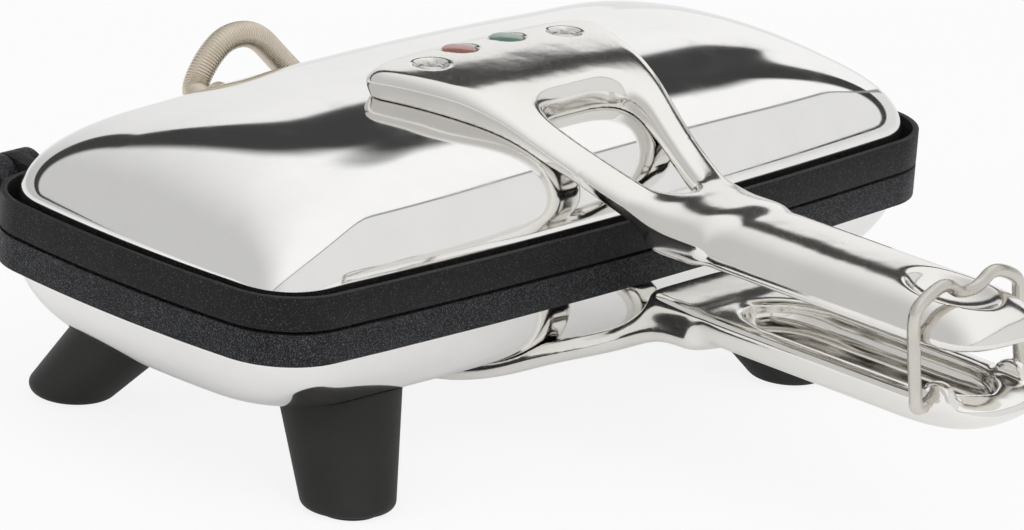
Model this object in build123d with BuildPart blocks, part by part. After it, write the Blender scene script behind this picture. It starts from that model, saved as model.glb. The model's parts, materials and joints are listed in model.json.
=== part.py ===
import os
from math import atan2, cos, radians, sin, tan

from build123d import *

os.makedirs("parts", exist_ok=True)

# A four-slice sandwich maker, drawn closed, in millimetres. While it is drawn, the origin is the
# middle of the seam between the two cooking plates: +X runs right along the plates, -Y points to
# the handles, +Y to the hinges and Z up. Before export the whole is stood on the floor, with the
# origin under the middle of its bounding box.

# the two black plate rims that show all round the seam
rim_length = 289.0
rim_width = 138.0
rim_corner = 23.0
long_bow = 5.4  # how far the long sides bulge
short_bow = 4.7
upper_rim_height = 9.9
lower_rim_height = 9.5
rim_wall = 1.7
seam_gap = 1.0
web = 3.0  # thickness of the plates and of their wells

# the wells that press and seal the bread
well_margin = (22.5, 16.0)  # from the rim's outer face to the wells, at the ends and at the long sides
well_depth = 12.0
well_corner = 11.0
well_draft = 16.0  # degrees
well_middle_land = 12.0  # between the left and the right pair
well_ridge = 5.0  # across the diagonal of a pair
well_side_x = rim_length / 2 - well_middle_land / 2 - well_margin[0]
well_side_y = rim_width - 2 * well_margin[1]
well_back = seam_gap / 2 + well_depth + web

# heating elements on the backs of the wells, with a reflector behind each
element_radius = 3.3
element_inset = (46.5, 33.0)  # of the loop's centre line from the rim
element_bend = 12.0
terminal_x = 14.0
terminal_reach = 14.0
terminal_pin_radius = 1.6
terminal_pin_length = 7.0
clip_inset = 36.0
clip_width = 10.0
clip_sheet = 1.2
clip_foot = 6.0
reflector_inset = (24.5, 22.0)
reflector_sheet = 0.6
reflector_corner = 16.0
reflector_gap = 0.3
element_half = (rim_length / 2 - element_inset[0], rim_width / 2 - element_inset[1])
element_level = well_back + element_radius
reflector_half = (rim_length / 2 - reflector_inset[0], rim_width / 2 - reflector_inset[1])
reflector_level = element_level + element_radius + clip_sheet + reflector_gap

# the two polished shells behind the plates
shell_gap = 4.3  # from the rim's outer face to the shell
shell_wall = 1.2
lid_room = 13.3  # from the reflector to the crown
lid_straight = 7.9  # height where the lid's side starts to curve
lid_reach = (78.0, 38.8)  # how far the curve draws in at the ends and at the long sides
lid_power = (3.5, 2.5)
base_room = 12.8
base_straight = 5.0
base_reach = (42.0, 37.0)
base_power = (2.34, 2.34)
shell_corner = 18.0
shell_corner_gain = 13.0
lid_height = reflector_level + reflector_sheet + lid_room
base_height = reflector_level + reflector_sheet + base_room
wall_y = rim_width / 2 - shell_gap

# the four splayed feet and the floor
floor_clearance = 27.0
foot_top_radius = 19.0
foot_sole_radius = 13.5
foot_top_up = 6.0  # the top radius is measured this far above the underside of the base
foot_top_inset = 63.5
foot_sole_inset = 48.0
foot_top_y = (41.0 - rim_width / 2, rim_width / 2 - 24.0)
foot_sole_y = (18.0 - rim_width / 2, rim_width / 2 - 1.5)
foot_screw_inset = (62.5, 47.0)
foot_tongue = 4.0
sole_round = 2.5
pad_radius = 9.0
pad_thickness = 3.0
pad_proud = 0.8
floor_depth = base_height + floor_clearance
foot_top_depth = base_height - foot_top_up

# hinges at the back corners
hinge_inset = 30.5
hinge_stand = 8.0  # of the pin behind the rims
hinge_z = 4.0
hinge_pin_radius = 2.5
hinge_knuckle = 7.6
upper_ear_width = 6.0
lower_ear_width = 4.0
ear_gap = 0.3
ear_drop = 3.5  # keeps the lower ears' webs under the upper rim
ear_lift = 1.5
pin_running = 0.05
pin_head_radius = 3.9
pin_head = 1.4
hinge_x = rim_length / 2 - hinge_inset
hinge_y = rim_width / 2 + hinge_stand
lower_ear_offset = upper_ear_width / 2 + ear_gap + lower_ear_width / 2

# handle castings: two arms that meet in a neck, then a grip
tip_x = 48.5
tip_y = -3.0
neck_x = 17.5
neck_reach = 20.0  # of the neck in front of the rims
plate_rear_y = 17.0
window_rear_inset = 30.0
window_front_reach = 22.0
window_rear_half = 22.0
window_front_half = 4.5
plate_lift = 9.2  # of the handle's top over the shell's crown
arm_depth = 8.0
arm_round = 3.0
grip_half = 20.6
grip_depth = 12.4
upper_parting = 11.6  # height of the upper grip's flat underside
lower_parting = -2.4
handle_reach = 142.0  # of the nose in front of the rims
grip_wall = 3.8
channel_rear = 23.0  # from the neck
channel_front = 8.0  # from the nose
recess_from_nose = 26.0
recess_half = (12.5, 16.5)
recess_depth = 7.5
neck_y = -rim_width / 2 - neck_reach
nose_y = -rim_width / 2 - handle_reach
window_rear_y = -rim_width / 2 + window_rear_inset
window_front_y = -rim_width / 2 - window_front_reach
channel_rear_y = neck_y - channel_rear
channel_front_y = nose_y + channel_front
recess_y = nose_y + recess_from_nose

# screws that hold the handles and shells to the plates
handle_screw_x = 28.4
handle_screw_y = -7.0
rear_screw_y = 18.0
screw_radius = 2.0
screw_head_radius = 4.2
screw_head_height = 2.4
counterbore_radius = 6.0
counterbore_depth = 3.2
screw_bite = 9.0
thread_fit = 0.05
hole_fit = 0.3
boss_radius = 4.6
boss_shoulder_radius = 6.2

# lamps in the top plate
lamp_x = 10.0
lamp_y = -1.0
lens_radius = 5.3
lens_fit = 0.15
lens_proud = 0.3
lens_round = 0.6
lens_collar = (1.4, 1.5)  # width and thickness
neon_radius = 3.0
neon_length = 9.5
neon_fit = 0.2
holder_depth = 7.0
holder_width = 16.0

# what the wiring ends in
thermostat_radius = 8.0
thermostat_height = 6.0
thermostat_y = 2.0
fuse_radius = 2.0
fuse_length = 14.0
fuse_x = 17.0
block_x = 50.0
block_y = 12.0
block_size = (30.0, 16.0, 9.0)
block_pitch = 9.0
block_screw_radius = 1.4
clamp_inset = 39.2  # from the shell's rear wall
clamp_size = (18.0, 9.0, 8.0)

# bail of bent wire that hooks over both grips
wire_radius = 1.9
bail_from_nose = 17.0
bail_pivot_z = -5.5
bail_gap = 0.2  # between each leg and the grip's side
bail_top_z = 26.4
bail_lean = 3.5  # the top lies this far behind the pivot
bail_wave = 2.4
bail_bend = 5.0
bail_hook = 6.0
ear_height = 4.2
ear_length = 11.0
ear_width = 4.4
ear_inset = 2.4
bail_pivot_y = nose_y + bail_from_nose
bail_half = grip_half + bail_gap + wire_radius
clamp_y = wall_y - clamp_inset

# ribbed steel conduit that carries the leads from the base to the lid
hose_radius = 4.0
hose_groove = 0.6
hose_bore_radius = 2.6
hose_pitch = 2.3
hose_stand = 12.0  # behind the rims
hose_crown = 34.0
bush_radius = 5.4
bush_flange_radius = 7.0
bush_flange = 2.0
bush_reach = 9.0
lid_exit = (-42.0, 16.0)
base_exit = (28.0, -21.0)

# where the mains lead enters, and what holds it
inlet = (52.0, -21.0)
inlet_bore_radius = 3.6
inlet_radius = 6.5
inlet_flange_radius = 9.0


def sign_word(side):
    return "left" if side < 0 else "right"


def bow_y(x, half_width=rim_width / 2):
    """Distance from the middle to a bowed long side at this x."""
    return half_width - long_bow * (x / (rim_length / 2 - short_bow)) ** 2


def outline(height, half_x, half_y, corner, bow_x, bow_y_side):
    """Rounded rectangle with bowed sides on a level plane."""
    with BuildSketch(Plane.XY.offset(height)) as level:
        with BuildLine():
            corner_x, corner_y = half_x - bow_x, half_y - bow_y_side
            ThreePointArc((-corner_x, -corner_y), (0, -half_y), (corner_x, -corner_y))
            ThreePointArc((corner_x, -corner_y), (half_x, 0), (corner_x, corner_y))
            ThreePointArc((corner_x, corner_y), (0, half_y), (-corner_x, corner_y))
            ThreePointArc((-corner_x, corner_y), (-half_x, 0), (-corner_x, -corner_y))
        make_face()
        fillet(level.vertices(), corner)
    return level.sketch


def rim_outline(height, inset=0.0):
    """Outline of the rims, drawn in by the inset."""
    half_x, half_y = rim_length / 2 - inset, rim_width / 2 - inset
    return outline(height, half_x, half_y, rim_corner - inset, short_bow, long_bow)


def dome_sections(side, crown, straight, reach, power, wall):
    """Outlines from the plate's back to the crown, along a superellipse that draws in as it rises."""
    seat = seam_gap / 2 + web
    turns = [0, 18, 34, 48, 60, 70, 78, 84]  # degrees round the curve; the crown's flat starts at the last
    full = sin(radians(turns[-1]))
    sections = []
    for level, turn in [(seat, 0)] + [(None, turn) for turn in turns]:
        c, s = cos(radians(turn)), sin(radians(turn)) / full
        half_x = rim_length / 2 - shell_gap - wall - reach[0] * (1 - c ** (2 / power[0]))
        half_y = rim_width / 2 - shell_gap - wall - reach[1] * (1 - c ** (2 / power[1]))
        height = straight + (crown - wall - straight) * s if level is None else level
        shrink = half_y / (rim_width / 2)
        corner = min(shell_corner - wall + shell_corner_gain * (1 - c), 0.85 * (half_y - long_bow * shrink))
        sections.append(outline(side * height, half_x, half_y, corner, short_bow * shrink, long_bow * shrink))
    return sections


def dome(side, crown, straight, reach, power, wall, how):
    loft(dome_sections(side, crown, straight, reach, power, wall), mode=how)


def disc(plane, place, radius):
    """Round sketch at a place on a plane."""
    with BuildSketch(plane) as flat:
        with Locations(place):
            Circle(radius)
    return flat.sketch


def drill(x, y, radius, low, high):
    """Upright round hole through the part being built."""
    extrude(disc(Plane.XY.offset(low), (x, y), radius), amount=high - low, mode=Mode.SUBTRACT)


def post(x, y, radius, low, high):
    """Upright round post added to the part being built."""
    extrude(disc(Plane.XY.offset(low), (x, y), radius), amount=high - low)


def back_hole(place, radius):
    """Round hole along Y through the back wall of the shell being built."""
    extrude(disc(Plane.XZ.offset(-rim_width / 4), place, radius), amount=-rim_width / 2, mode=Mode.SUBTRACT)


def well_triangles(grow):
    """The four triangular wells, as lists of corners; grow moves each edge outwards."""
    triangles = []
    cut = well_ridge / 2 - grow
    slope = atan2(well_side_y, well_side_x)
    cut_x, cut_y = cut / sin(slope), cut / cos(slope)
    near_x = well_middle_land / 2 - grow
    far_x = well_middle_land / 2 + well_side_x + grow
    low_y, high_y = -well_side_y / 2 - grow, well_side_y / 2 + grow
    rise = tan(slope)

    def ridge_y(x):
        return well_side_y / 2 - (x - well_middle_land / 2) * rise

    def ridge_x(y):
        return well_middle_land / 2 + (well_side_y / 2 - y) / rise

    for side in (-1, 1):
        front = [(near_x, low_y), (ridge_x(low_y) - cut_x, low_y), (near_x, ridge_y(near_x) - cut_y)]
        back = [(far_x, high_y), (ridge_x(high_y) + cut_x, high_y), (far_x, ridge_y(far_x) + cut_y)]
        triangles += [[(side * x, y) for x, y in corners][::side] for corners in (front, back)]
    return triangles


def wells(side, grow, depth, how):
    """Sinks or thickens the four wells, each a drafted triangle with rounded corners."""
    mouth_plane = Plane((0, 0, side * seam_gap / 2), x_dir=(side, 0, 0), z_dir=(0, 0, side))
    for corners in well_triangles(grow):
        with BuildSketch(mouth_plane) as mouth:
            with BuildLine():
                Polyline(*[(side * x, y) for x, y in corners][::side], close=True)
            make_face()
            fillet(mouth.vertices(), well_corner + grow)
        extrude(mouth.sketch, amount=depth, taper=well_draft, mode=how)


def ear(x, width, z_low, z_high):
    """Hinge ear from the rim's back wall to the pin, centred on x."""
    wall_y = bow_y(abs(x)) - rim_wall / 2
    with BuildSketch(Plane.YZ.offset(x - width / 2)) as profile:
        with Locations((hinge_y, hinge_z)):
            Circle(hinge_knuckle)
        with Locations((wall_y, (z_low + z_high) / 2)):
            Rectangle(rim_wall, z_high - z_low)
        make_hull(profile.edges())
    extrude(profile.sketch, amount=width)


def ear_bore(x, width, radius):
    bore = disc(Plane.YZ.offset(x - width), (hinge_y, hinge_z), radius)
    extrude(bore, amount=2 * width, mode=Mode.SUBTRACT)


def cooking_plate(side, rim_height, crown, boss_places):
    """Cast plate: web, standing rim, four wells, and bosses on its back for the screws."""
    extrude(rim_outline(side * seam_gap / 2), amount=rim_height, dir=(0, 0, side))
    hollow = rim_outline(side * (seam_gap / 2 + web), rim_wall)
    extrude(hollow, amount=rim_height, dir=(0, 0, side), mode=Mode.SUBTRACT)
    wells(side, web * 0.9, well_depth + web, Mode.ADD)
    for x, y in boss_places:
        reach_in, reach_out = side * (seam_gap / 2 + web / 2), side * (crown - shell_wall)
        shoulder = side * reflector_level
        post(x, y, boss_shoulder_radius, min(reach_in, shoulder), max(reach_in, shoulder))
        post(x, y, boss_radius, min(reach_in, reach_out), max(reach_in, reach_out))
    wells(side, 0.0, well_depth, Mode.SUBTRACT)
    for x, y in boss_places:
        deep, mouth = side * (crown - shell_wall - screw_bite - 1), side * (crown - shell_wall)
        drill(x, y, screw_radius + thread_fit, min(deep, mouth), max(deep, mouth))


front_screws = [(-handle_screw_x, handle_screw_y), (handle_screw_x, handle_screw_y)]
rear_screws = [(-handle_screw_x, rear_screw_y), (handle_screw_x, rear_screw_y)]
clip_places = [(side_x * (element_half[0] - clip_inset), side_y * element_half[1])
               for side_x in (-1, 1) for side_y in (-1, 1)]
foot_screw_half = (rim_length / 2 - foot_screw_inset[0], rim_width / 2 - foot_screw_inset[1])
foot_screw_places = [(side_x * foot_screw_half[0], side_y * foot_screw_half[1])
                     for side_x in (-1, 1) for side_y in (-1, 1)]

with BuildPart() as lower_plate:
    cooking_plate(-1, lower_rim_height, base_height, front_screws + rear_screws)
    for side in (-1, 1):
        for offset in (-lower_ear_offset, lower_ear_offset):
            x = side * hinge_x + offset
            ear(x, lower_ear_width, -seam_gap / 2 - lower_rim_height, -seam_gap / 2 - ear_drop)
            ear_bore(x, lower_ear_width, hinge_pin_radius + pin_running / 2)

with BuildPart() as upper_plate:
    cooking_plate(1, upper_rim_height, lid_height, front_screws)
    for side in (-1, 1):
        ear(side * hinge_x, upper_ear_width, seam_gap / 2 + ear_lift, seam_gap / 2 + upper_rim_height)
        ear_bore(side * hinge_x, upper_ear_width, hinge_pin_radius + pin_running)

hinge_pins = {}
for side in (-1, 1):
    half_span = lower_ear_offset + lower_ear_width / 2
    with BuildPart() as pin:
        shank = disc(Plane.YZ.offset(side * hinge_x - half_span), (hinge_y, hinge_z), hinge_pin_radius)
        extrude(shank, amount=2 * half_span)
        for end in (-1, 1):
            face = Plane.YZ.offset(side * hinge_x + end * half_span)
            head = disc(face, (hinge_y, hinge_z), pin_head_radius)
            extrude(head, amount=pin_head, dir=(end, 0, 0))
    hinge_pins[sign_word(side)] = pin

# shells: the outer form is kept whole too, because the handles and feet are cut to sit on it
lid_shape = (lid_height, lid_straight, lid_reach, lid_power)
base_shape = (base_height, base_straight, base_reach, base_power)

with BuildPart() as lid_form:
    dome(1, *lid_shape, 0.0, Mode.ADD)

with BuildPart() as base_form:
    dome(-1, *base_shape, 0.0, Mode.ADD)

with BuildPart() as lid_shell:
    add(lid_form.part)
    dome(1, *lid_shape, shell_wall, Mode.SUBTRACT)
    for x, y in front_screws:
        drill(x, y, screw_radius + hole_fit, lid_height - 4, lid_height + 4)
    for x in (-lamp_x, lamp_x):
        drill(x, lamp_y, lens_radius + lens_fit, lid_height - 4, lid_height + 4)
    back_hole(lid_exit, bush_radius + hole_fit)

with BuildPart() as base_shell:
    add(base_form.part)
    dome(-1, *base_shape, shell_wall, Mode.SUBTRACT)
    for x, y in front_screws + rear_screws:
        drill(x, y, screw_radius + hole_fit, -base_height - 4, -base_height + 4)
    for x, y in foot_screw_places:
        drill(x, y, screw_radius + hole_fit, -base_height - 4, -base_height + 4)
    back_hole(base_exit, bush_radius + hole_fit)
    back_hole(inlet, inlet_radius + hole_fit)

# feet: leaning cones cut to the base, each with a tongue on the flat of the base for its screw


def foot_middle(place, depth):
    """Centre of a foot at this depth below the seam; place is (side, which of the two rows)."""
    side, row = place
    share = (depth - foot_top_depth) / (floor_depth - foot_top_depth)
    inset = foot_top_inset + share * (foot_sole_inset - foot_top_inset)
    return (side * (rim_length / 2 - inset), foot_top_y[row] + share * (foot_sole_y[row] - foot_top_y[row]))


def foot_section(place, depth):
    share = (depth - foot_top_depth) / (floor_depth - foot_top_depth)
    radius = foot_top_radius + share * (foot_sole_radius - foot_top_radius)
    return disc(Plane.XY.offset(-depth), foot_middle(place, depth), radius)


sole = floor_depth - pad_proud
foot_places = {}
feet = {}
for side in (-1, 1):
    for row, row_name in enumerate(("front", "rear")):
        foot_places[f"foot_{row_name}_{sign_word(side)}"] = (side, row)

for name, place in foot_places.items():
    tongue = base_height + foot_tongue
    screw = min(foot_screw_places, key=lambda spot: (spot[0] * place[0] < 0, (spot[1] > 0) != place[1]))
    with BuildPart() as foot:
        loft([foot_section(place, base_height / 3), foot_section(place, sole)], ruled=True)
        fillet(foot.faces().sort_by(Axis.Z)[0].edges(), sole_round)
        with BuildSketch(Plane.XY.offset(-tongue)) as bridge:
            with Locations(screw):
                Circle(2 * screw_head_radius)
            with Locations(foot_middle(place, tongue)):
                Circle(foot_top_radius * 0.6)
            make_hull(bridge.edges())
        extrude(amount=foot_tongue + 2)
        add(base_form.part, mode=Mode.SUBTRACT)
        drill(*screw, screw_radius + thread_fit, -tongue - 1, -base_height + 1)
        drill(*foot_middle(place, sole), pad_radius, -sole, -floor_depth + pad_thickness)
    feet[name] = foot

with BuildPart() as foot_pads:
    for place in foot_places.values():
        x, y = foot_middle(place, sole)
        post(x, y, pad_radius, -floor_depth, -floor_depth + pad_thickness)

with BuildPart() as foot_screws:
    for x, y in foot_screw_places:
        post(x, y, screw_radius, -base_height - foot_tongue - 0.5, -base_height + shell_wall)
        inside = -base_height + shell_wall
        post(x, y, screw_head_radius, inside, inside + screw_head_height)


def arm_plan(height):
    """The casting from above: plate, two arms, neck and the window between them."""
    with BuildSketch(Plane.XY.offset(height)) as plan:
        with BuildLine():
            ThreePointArc((-tip_x + 3, tip_y + 6), (0, plate_rear_y), (tip_x - 3, tip_y + 6))
            Polyline((tip_x - 3, tip_y + 6), (tip_x, tip_y), (neck_x, neck_y), (neck_x, neck_y - 16),
                     (-neck_x, neck_y - 16), (-neck_x, neck_y), (-tip_x, tip_y), (-tip_x + 3, tip_y + 6))
        make_face()
        fillet([v for v in plan.vertices() if abs(v.Y - neck_y) < 0.1], 30)
        fillet([v for v in plan.vertices() if abs(v.Y - tip_y) < 0.1], 4)
        with BuildSketch(mode=Mode.SUBTRACT) as window:
            with BuildLine():
                rear = [(-window_rear_half, window_rear_y), (window_rear_half, window_rear_y)]
                fore = [(window_front_half, window_front_y), (-window_front_half, window_front_y)]
                Polyline(*rear, *fore, close=True)
            make_face()
            fillet(window.vertices().group_by(Axis.Y)[-1], 6.5)
            fillet(window.vertices().group_by(Axis.Y)[0], 3.5)
    return plan.sketch


def arms(casting, side, crown, neck_level):
    """Plan and side view of the casting crossed, its top edges rounded; side is +1 for the lid's handle."""
    front = -rim_width / 2
    top = crown + plate_lift
    extrude(arm_plan(0), amount=top + 10, dir=(0, 0, side))
    with BuildSketch(Plane.YZ) as profile:
        with BuildLine():
            crest = [(plate_rear_y + 1, side * (crown + 2.0)), (tip_y - 4, side * top),
                     (front + 37, side * (top - 4.2)), (front + 13, side * (top - 11.6)),
                     (front - 7, side * (top - 20.6)), (neck_y - 4, side * neck_level),
                     (neck_y - 17, side * (neck_level + 0.4))]
            Spline(*crest)
            low_neck, low_top = neck_level - arm_depth, top - arm_depth
            under = [(neck_y - 17, side * low_neck), (neck_y, side * low_neck),
                     (front - 7, side * (low_top - 20.6)), (front + 13, side * (low_top - 11.6)),
                     (front + 29, side * (crown - 6)), (plate_rear_y + 1, side * (crown - 6))]
            Polyline(crest[-1], *under, crest[0])
        make_face()
    extrude(profile.sketch, amount=tip_x + 5, both=True, mode=Mode.INTERSECT)
    outer = casting.faces().filter_by(lambda face: side * face.normal_at().Z > 0.3).sort_by(SortBy.AREA)[-1]
    fillet(outer.edges().filter_by(lambda edge: edge.center().Y > neck_y - 15.5), arm_round)


def grip_section(side, y, half, parting, depth):
    """Flat on the parting side and half an ellipse on the other."""
    with BuildSketch(Plane.XZ.offset(-y)) as section:
        with Locations((0, parting)):
            Ellipse(half, depth)
        with Locations((0, parting - side * (depth + 5))):
            Rectangle(2 * half + 10, 2 * (depth + 5), mode=Mode.SUBTRACT)
    return section.sketch


def grip(side, parting, rise):
    """Loft from the neck to the rounded nose; rise lifts the nose off the parting level."""
    sections = (
        (neck_y + 1, neck_x - 0.5, 1.5, grip_depth - 3.0),
        (neck_y - 13, grip_half - 1.6, 0.6, grip_depth - 0.4),
        (neck_y - 39, grip_half, 0.0, grip_depth),
        (nose_y + 51, grip_half, 0.0, grip_depth - 0.4),
        (nose_y + 25, grip_half - 0.7, 0.1, grip_depth - 1.2),
        (nose_y + 14, grip_half - 3.2, 0.6, grip_depth - 2.6),
        (nose_y + 5, grip_half - 8.6, 1.4, grip_depth - 5.6),
        (nose_y, grip_half - 16.4, 2.6, 2.4),
    )
    loft([grip_section(side, y, half, parting + rise * lift, depth) for y, half, lift, depth in sections])


def tapped_seats(places, crown, side):
    """Holes and counterbores for screws whose heads sink into the casting."""
    for x, y in places:
        low, high = sorted((side * (crown - 8), side * (crown + plate_lift + 5)))
        drill(x, y, screw_radius + hole_fit, low, high)
        low, high = sorted((side * (crown + plate_lift - counterbore_depth), side * (crown + plate_lift + 5)))
        drill(x, y, counterbore_radius, low, high)


with BuildPart() as upper_handle:
    arms(upper_handle, 1, lid_height, upper_parting + grip_depth - 3.4)
    tapped_seats(front_screws, lid_height, 1)
    for x in (-lamp_x, lamp_x):
        drill(x, lamp_y, lens_radius + lens_fit, lid_height - 8, lid_height + plate_lift + 5)
    add(lid_form.part, mode=Mode.SUBTRACT)
    grip(1, upper_parting, 1)
    for above, shrink in ((4.0, 1.08), (-recess_depth, 0.8)):
        with BuildSketch(Plane.XY.offset(upper_parting + grip_depth + above)):
            with Locations((0, recess_y)):
                Ellipse(recess_half[0] * shrink, recess_half[1] * shrink)
    loft(mode=Mode.SUBTRACT)
    with BuildSketch(Plane.XY.offset(upper_parting - 1)):
        channel_end_y = recess_y + recess_half[1] + grip_wall
        with Locations((0, (channel_rear_y + channel_end_y) / 2)):
            SlotOverall(channel_rear_y - channel_end_y, 2 * (grip_half - grip_wall) - 4, rotation=90)
    extrude(amount=grip_depth - grip_wall, taper=12, mode=Mode.SUBTRACT)

with BuildPart() as lower_handle:
    arms(lower_handle, -1, base_height, -lower_parting + grip_depth + 1.2)
    tapped_seats(front_screws, base_height, -1)
    add(base_form.part, mode=Mode.SUBTRACT)
    grip(-1, lower_parting, 1)
    for side in (-1, 1):
        with BuildSketch(Plane.YZ.offset(side * (grip_half - ear_inset - ear_width))):
            with Locations((bail_pivot_y - ear_length / 2 + 3, lower_parting)):
                Ellipse(ear_length / 2, ear_height)
        extrude(amount=ear_width, dir=(side, 0, 0))
    with BuildSketch(Plane.XY.offset(lower_parting + ear_height + 1)):
        with Locations((0, (channel_rear_y + channel_front_y) / 2)):
            channel_half = grip_half - ear_inset - ear_width
            SlotOverall(channel_rear_y - channel_front_y, 2 * channel_half, rotation=90)
    extrude(amount=-(grip_depth - grip_wall + ear_height + 1), taper=6, mode=Mode.SUBTRACT)
    with BuildSketch(Plane.YZ.offset(-grip_half - 5)):
        with Locations((bail_pivot_y, bail_pivot_z)):
            Circle(wire_radius + pin_running)
    extrude(amount=2 * grip_half + 10, mode=Mode.SUBTRACT)


def sunk_screws(places, crown, side):
    """Pan-head screws from the handle's counterbores into the plate's bosses."""
    for x, y in places:
        head = crown + plate_lift - counterbore_depth
        low, high = sorted((side * (crown - shell_wall - screw_bite), side * head))
        post(x, y, screw_radius, low, high)
        low, high = sorted((side * head, side * (head + screw_head_height)))
        post(x, y, screw_head_radius, low, high)


with BuildPart() as upper_handle_screws:
    sunk_screws(front_screws, lid_height, 1)

with BuildPart() as lower_handle_screws:
    sunk_screws(front_screws, base_height, -1)

with BuildPart() as base_shell_screws:
    for x, y in rear_screws:
        post(x, y, screw_radius, -base_height, -base_height + shell_wall + screw_bite)
        post(x, y, screw_head_radius, -base_height - screw_head_height, -base_height)

# lamp lenses through the top plate, with a holder and two glow lamps inside the lid
lens_top = lid_height + plate_lift + lens_proud
inner_crown = lid_height - shell_wall


def lens(x):
    """Clear plug with a collar under the shell and a blind bore for its lamp."""
    with BuildPart() as piece:
        post(x, lamp_y, lens_radius, inner_crown, lens_top)
        fillet(piece.faces().sort_by(Axis.Z)[-1].edges(), lens_round)
        post(x, lamp_y, lens_radius + lens_collar[0], inner_crown - lens_collar[1], inner_crown)
        drill(x, lamp_y, neon_radius + neon_fit, inner_crown - 2, inner_crown + 5)
    return piece


heating_lens = lens(-lamp_x)
ready_lens = lens(lamp_x)
holder_top = inner_crown - lens_collar[1]

with BuildPart() as lamp_holder:
    with BuildSketch(Plane.XY.offset(holder_top - holder_depth)) as block:
        with Locations((0, lamp_y)):
            RectangleRounded(4 * lamp_x, holder_width, 3)
    extrude(amount=holder_depth)
    for x in (-lamp_x, lamp_x):
        drill(x, lamp_y, neon_radius + thread_fit, holder_top - holder_depth, holder_top + 1)
    for x in (-2 * lamp_x + 1.5, 2 * lamp_x - 1.5):
        post(x, lamp_y, 1.5, holder_top, inner_crown)

with BuildPart() as neon_lamps:
    for x in (-lamp_x, lamp_x):
        neon_foot = holder_top - holder_depth + 1
        post(x, lamp_y, neon_radius, neon_foot, neon_foot + neon_length)


def element(side):
    """Sheathed tube in one loop on the backs of the wells, with a pin at each end."""
    level = side * element_level
    half_x, half_y = element_half
    terminal_y = half_y + terminal_reach
    with BuildPart() as piece:
        with BuildLine():
            FilletPolyline((-terminal_x, terminal_y, level), (-terminal_x, half_y, level),
                           (-half_x, half_y, level), (-half_x, -half_y, level),
                           (half_x, -half_y, level), (half_x, half_y, level),
                           (terminal_x, half_y, level), (terminal_x, terminal_y, level),
                           radius=element_bend)
        with BuildSketch(Plane((-terminal_x, terminal_y, level), x_dir=(1, 0, 0), z_dir=(0, -1, 0))):
            Circle(element_radius)
        sweep()
        for x in (-terminal_x, terminal_x):
            terminal = disc(Plane.XZ.offset(-terminal_y), (x, level), terminal_pin_radius)
            extrude(terminal, amount=-terminal_pin_length)
    return piece


def saddles(side):
    """Bent straps that hold the element down on the wells."""
    level = side * element_level
    outer = element_radius + clip_sheet
    with BuildPart() as group:
        for x, y in clip_places:
            with BuildSketch(Plane.YZ.offset(x - clip_width / 2)) as strap:
                with Locations((y, level)):
                    Circle(outer)
                with Locations((y, level - side * element_radius / 2)):
                    Rectangle(2 * outer, element_radius)
                with Locations((y, side * (well_back + clip_sheet / 2))):
                    Rectangle(2 * (outer + clip_foot), clip_sheet)
                with Locations((y, level)):
                    Circle(element_radius + thread_fit, mode=Mode.SUBTRACT)
                with Locations((y, level - side * element_radius / 2)):
                    Rectangle(2 * (element_radius + thread_fit), element_radius + 1, mode=Mode.SUBTRACT)
                with Locations((y, side * (well_back - outer))):
                    Rectangle(4 * outer, 2 * outer, mode=Mode.SUBTRACT)
            extrude(strap.sketch, amount=clip_width)
    return group


def reflector(side, places):
    """Thin tray over the element, resting on the shoulders of the bosses."""
    with BuildPart() as sheet:
        with BuildSketch(Plane.XY.offset(side * reflector_level)) as flat:
            RectangleRounded(2 * reflector_half[0], 2 * reflector_half[1], reflector_corner)
            with Locations(*places):
                Circle(boss_radius + hole_fit, mode=Mode.SUBTRACT)
        extrude(flat.sketch, amount=reflector_sheet, dir=(0, 0, side))
    return sheet


lower_element = element(-1)
upper_element = element(1)
lower_element_clips = saddles(-1)
upper_element_clips = saddles(1)
lower_reflector = reflector(-1, front_screws + rear_screws)
upper_reflector = reflector(1, front_screws)

# thermostat and thermal fuse on the back of the lower wells
with BuildPart() as thermostat:
    post(0, thermostat_y, thermostat_radius, -well_back - thermostat_height, -well_back)
    for x in (-thermostat_radius - 2, thermostat_radius + 2):
        with BuildSketch(Plane.XY.offset(-well_back - thermostat_height / 2)) as blade:
            with Locations((x, thermostat_y)):
                Rectangle(6, 5)
        extrude(blade.sketch, amount=0.8)

with BuildPart() as thermal_fuse:
    middle = (-fuse_x, -well_back - fuse_radius)
    extrude(disc(Plane.XZ.offset(-thermostat_y + fuse_length / 2), middle, fuse_radius), amount=-fuse_length)

# terminal block and cord clamp on the floor of the base
base_floor = -base_height + shell_wall
with BuildPart() as terminal_block:
    with BuildSketch(Plane.XY.offset(base_floor)) as body:
        with Locations((block_x, block_y)):
            RectangleRounded(block_size[0], block_size[1], 1.5)
    extrude(body.sketch, amount=block_size[2])
    for offset in (-block_pitch, 0, block_pitch):
        drill(block_x + offset, block_y, block_screw_radius + thread_fit, base_floor + 3, base_floor + 20)

with BuildPart() as terminal_screws:
    for offset in (-block_pitch, 0, block_pitch):
        post(block_x + offset, block_y, block_screw_radius, base_floor + 3.5, base_floor + block_size[2])
        post(block_x + offset, block_y, block_screw_radius + 1, base_floor + block_size[2],
             base_floor + block_size[2] + 1)

with BuildPart() as cord_clamp:
    with BuildSketch(Plane.XY.offset(base_floor)) as body:
        with Locations((inlet[0], clamp_y)):
            RectangleRounded(clamp_size[0], clamp_size[1], 1.5)
    extrude(body.sketch, amount=clamp_size[2])
    groove_place = (inlet[0], base_floor + clamp_size[2])
    groove = disc(Plane.XZ.offset(-clamp_y - clamp_size[1]), groove_place, inlet_bore_radius)
    extrude(groove, amount=2 * clamp_size[1], mode=Mode.SUBTRACT)


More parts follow.
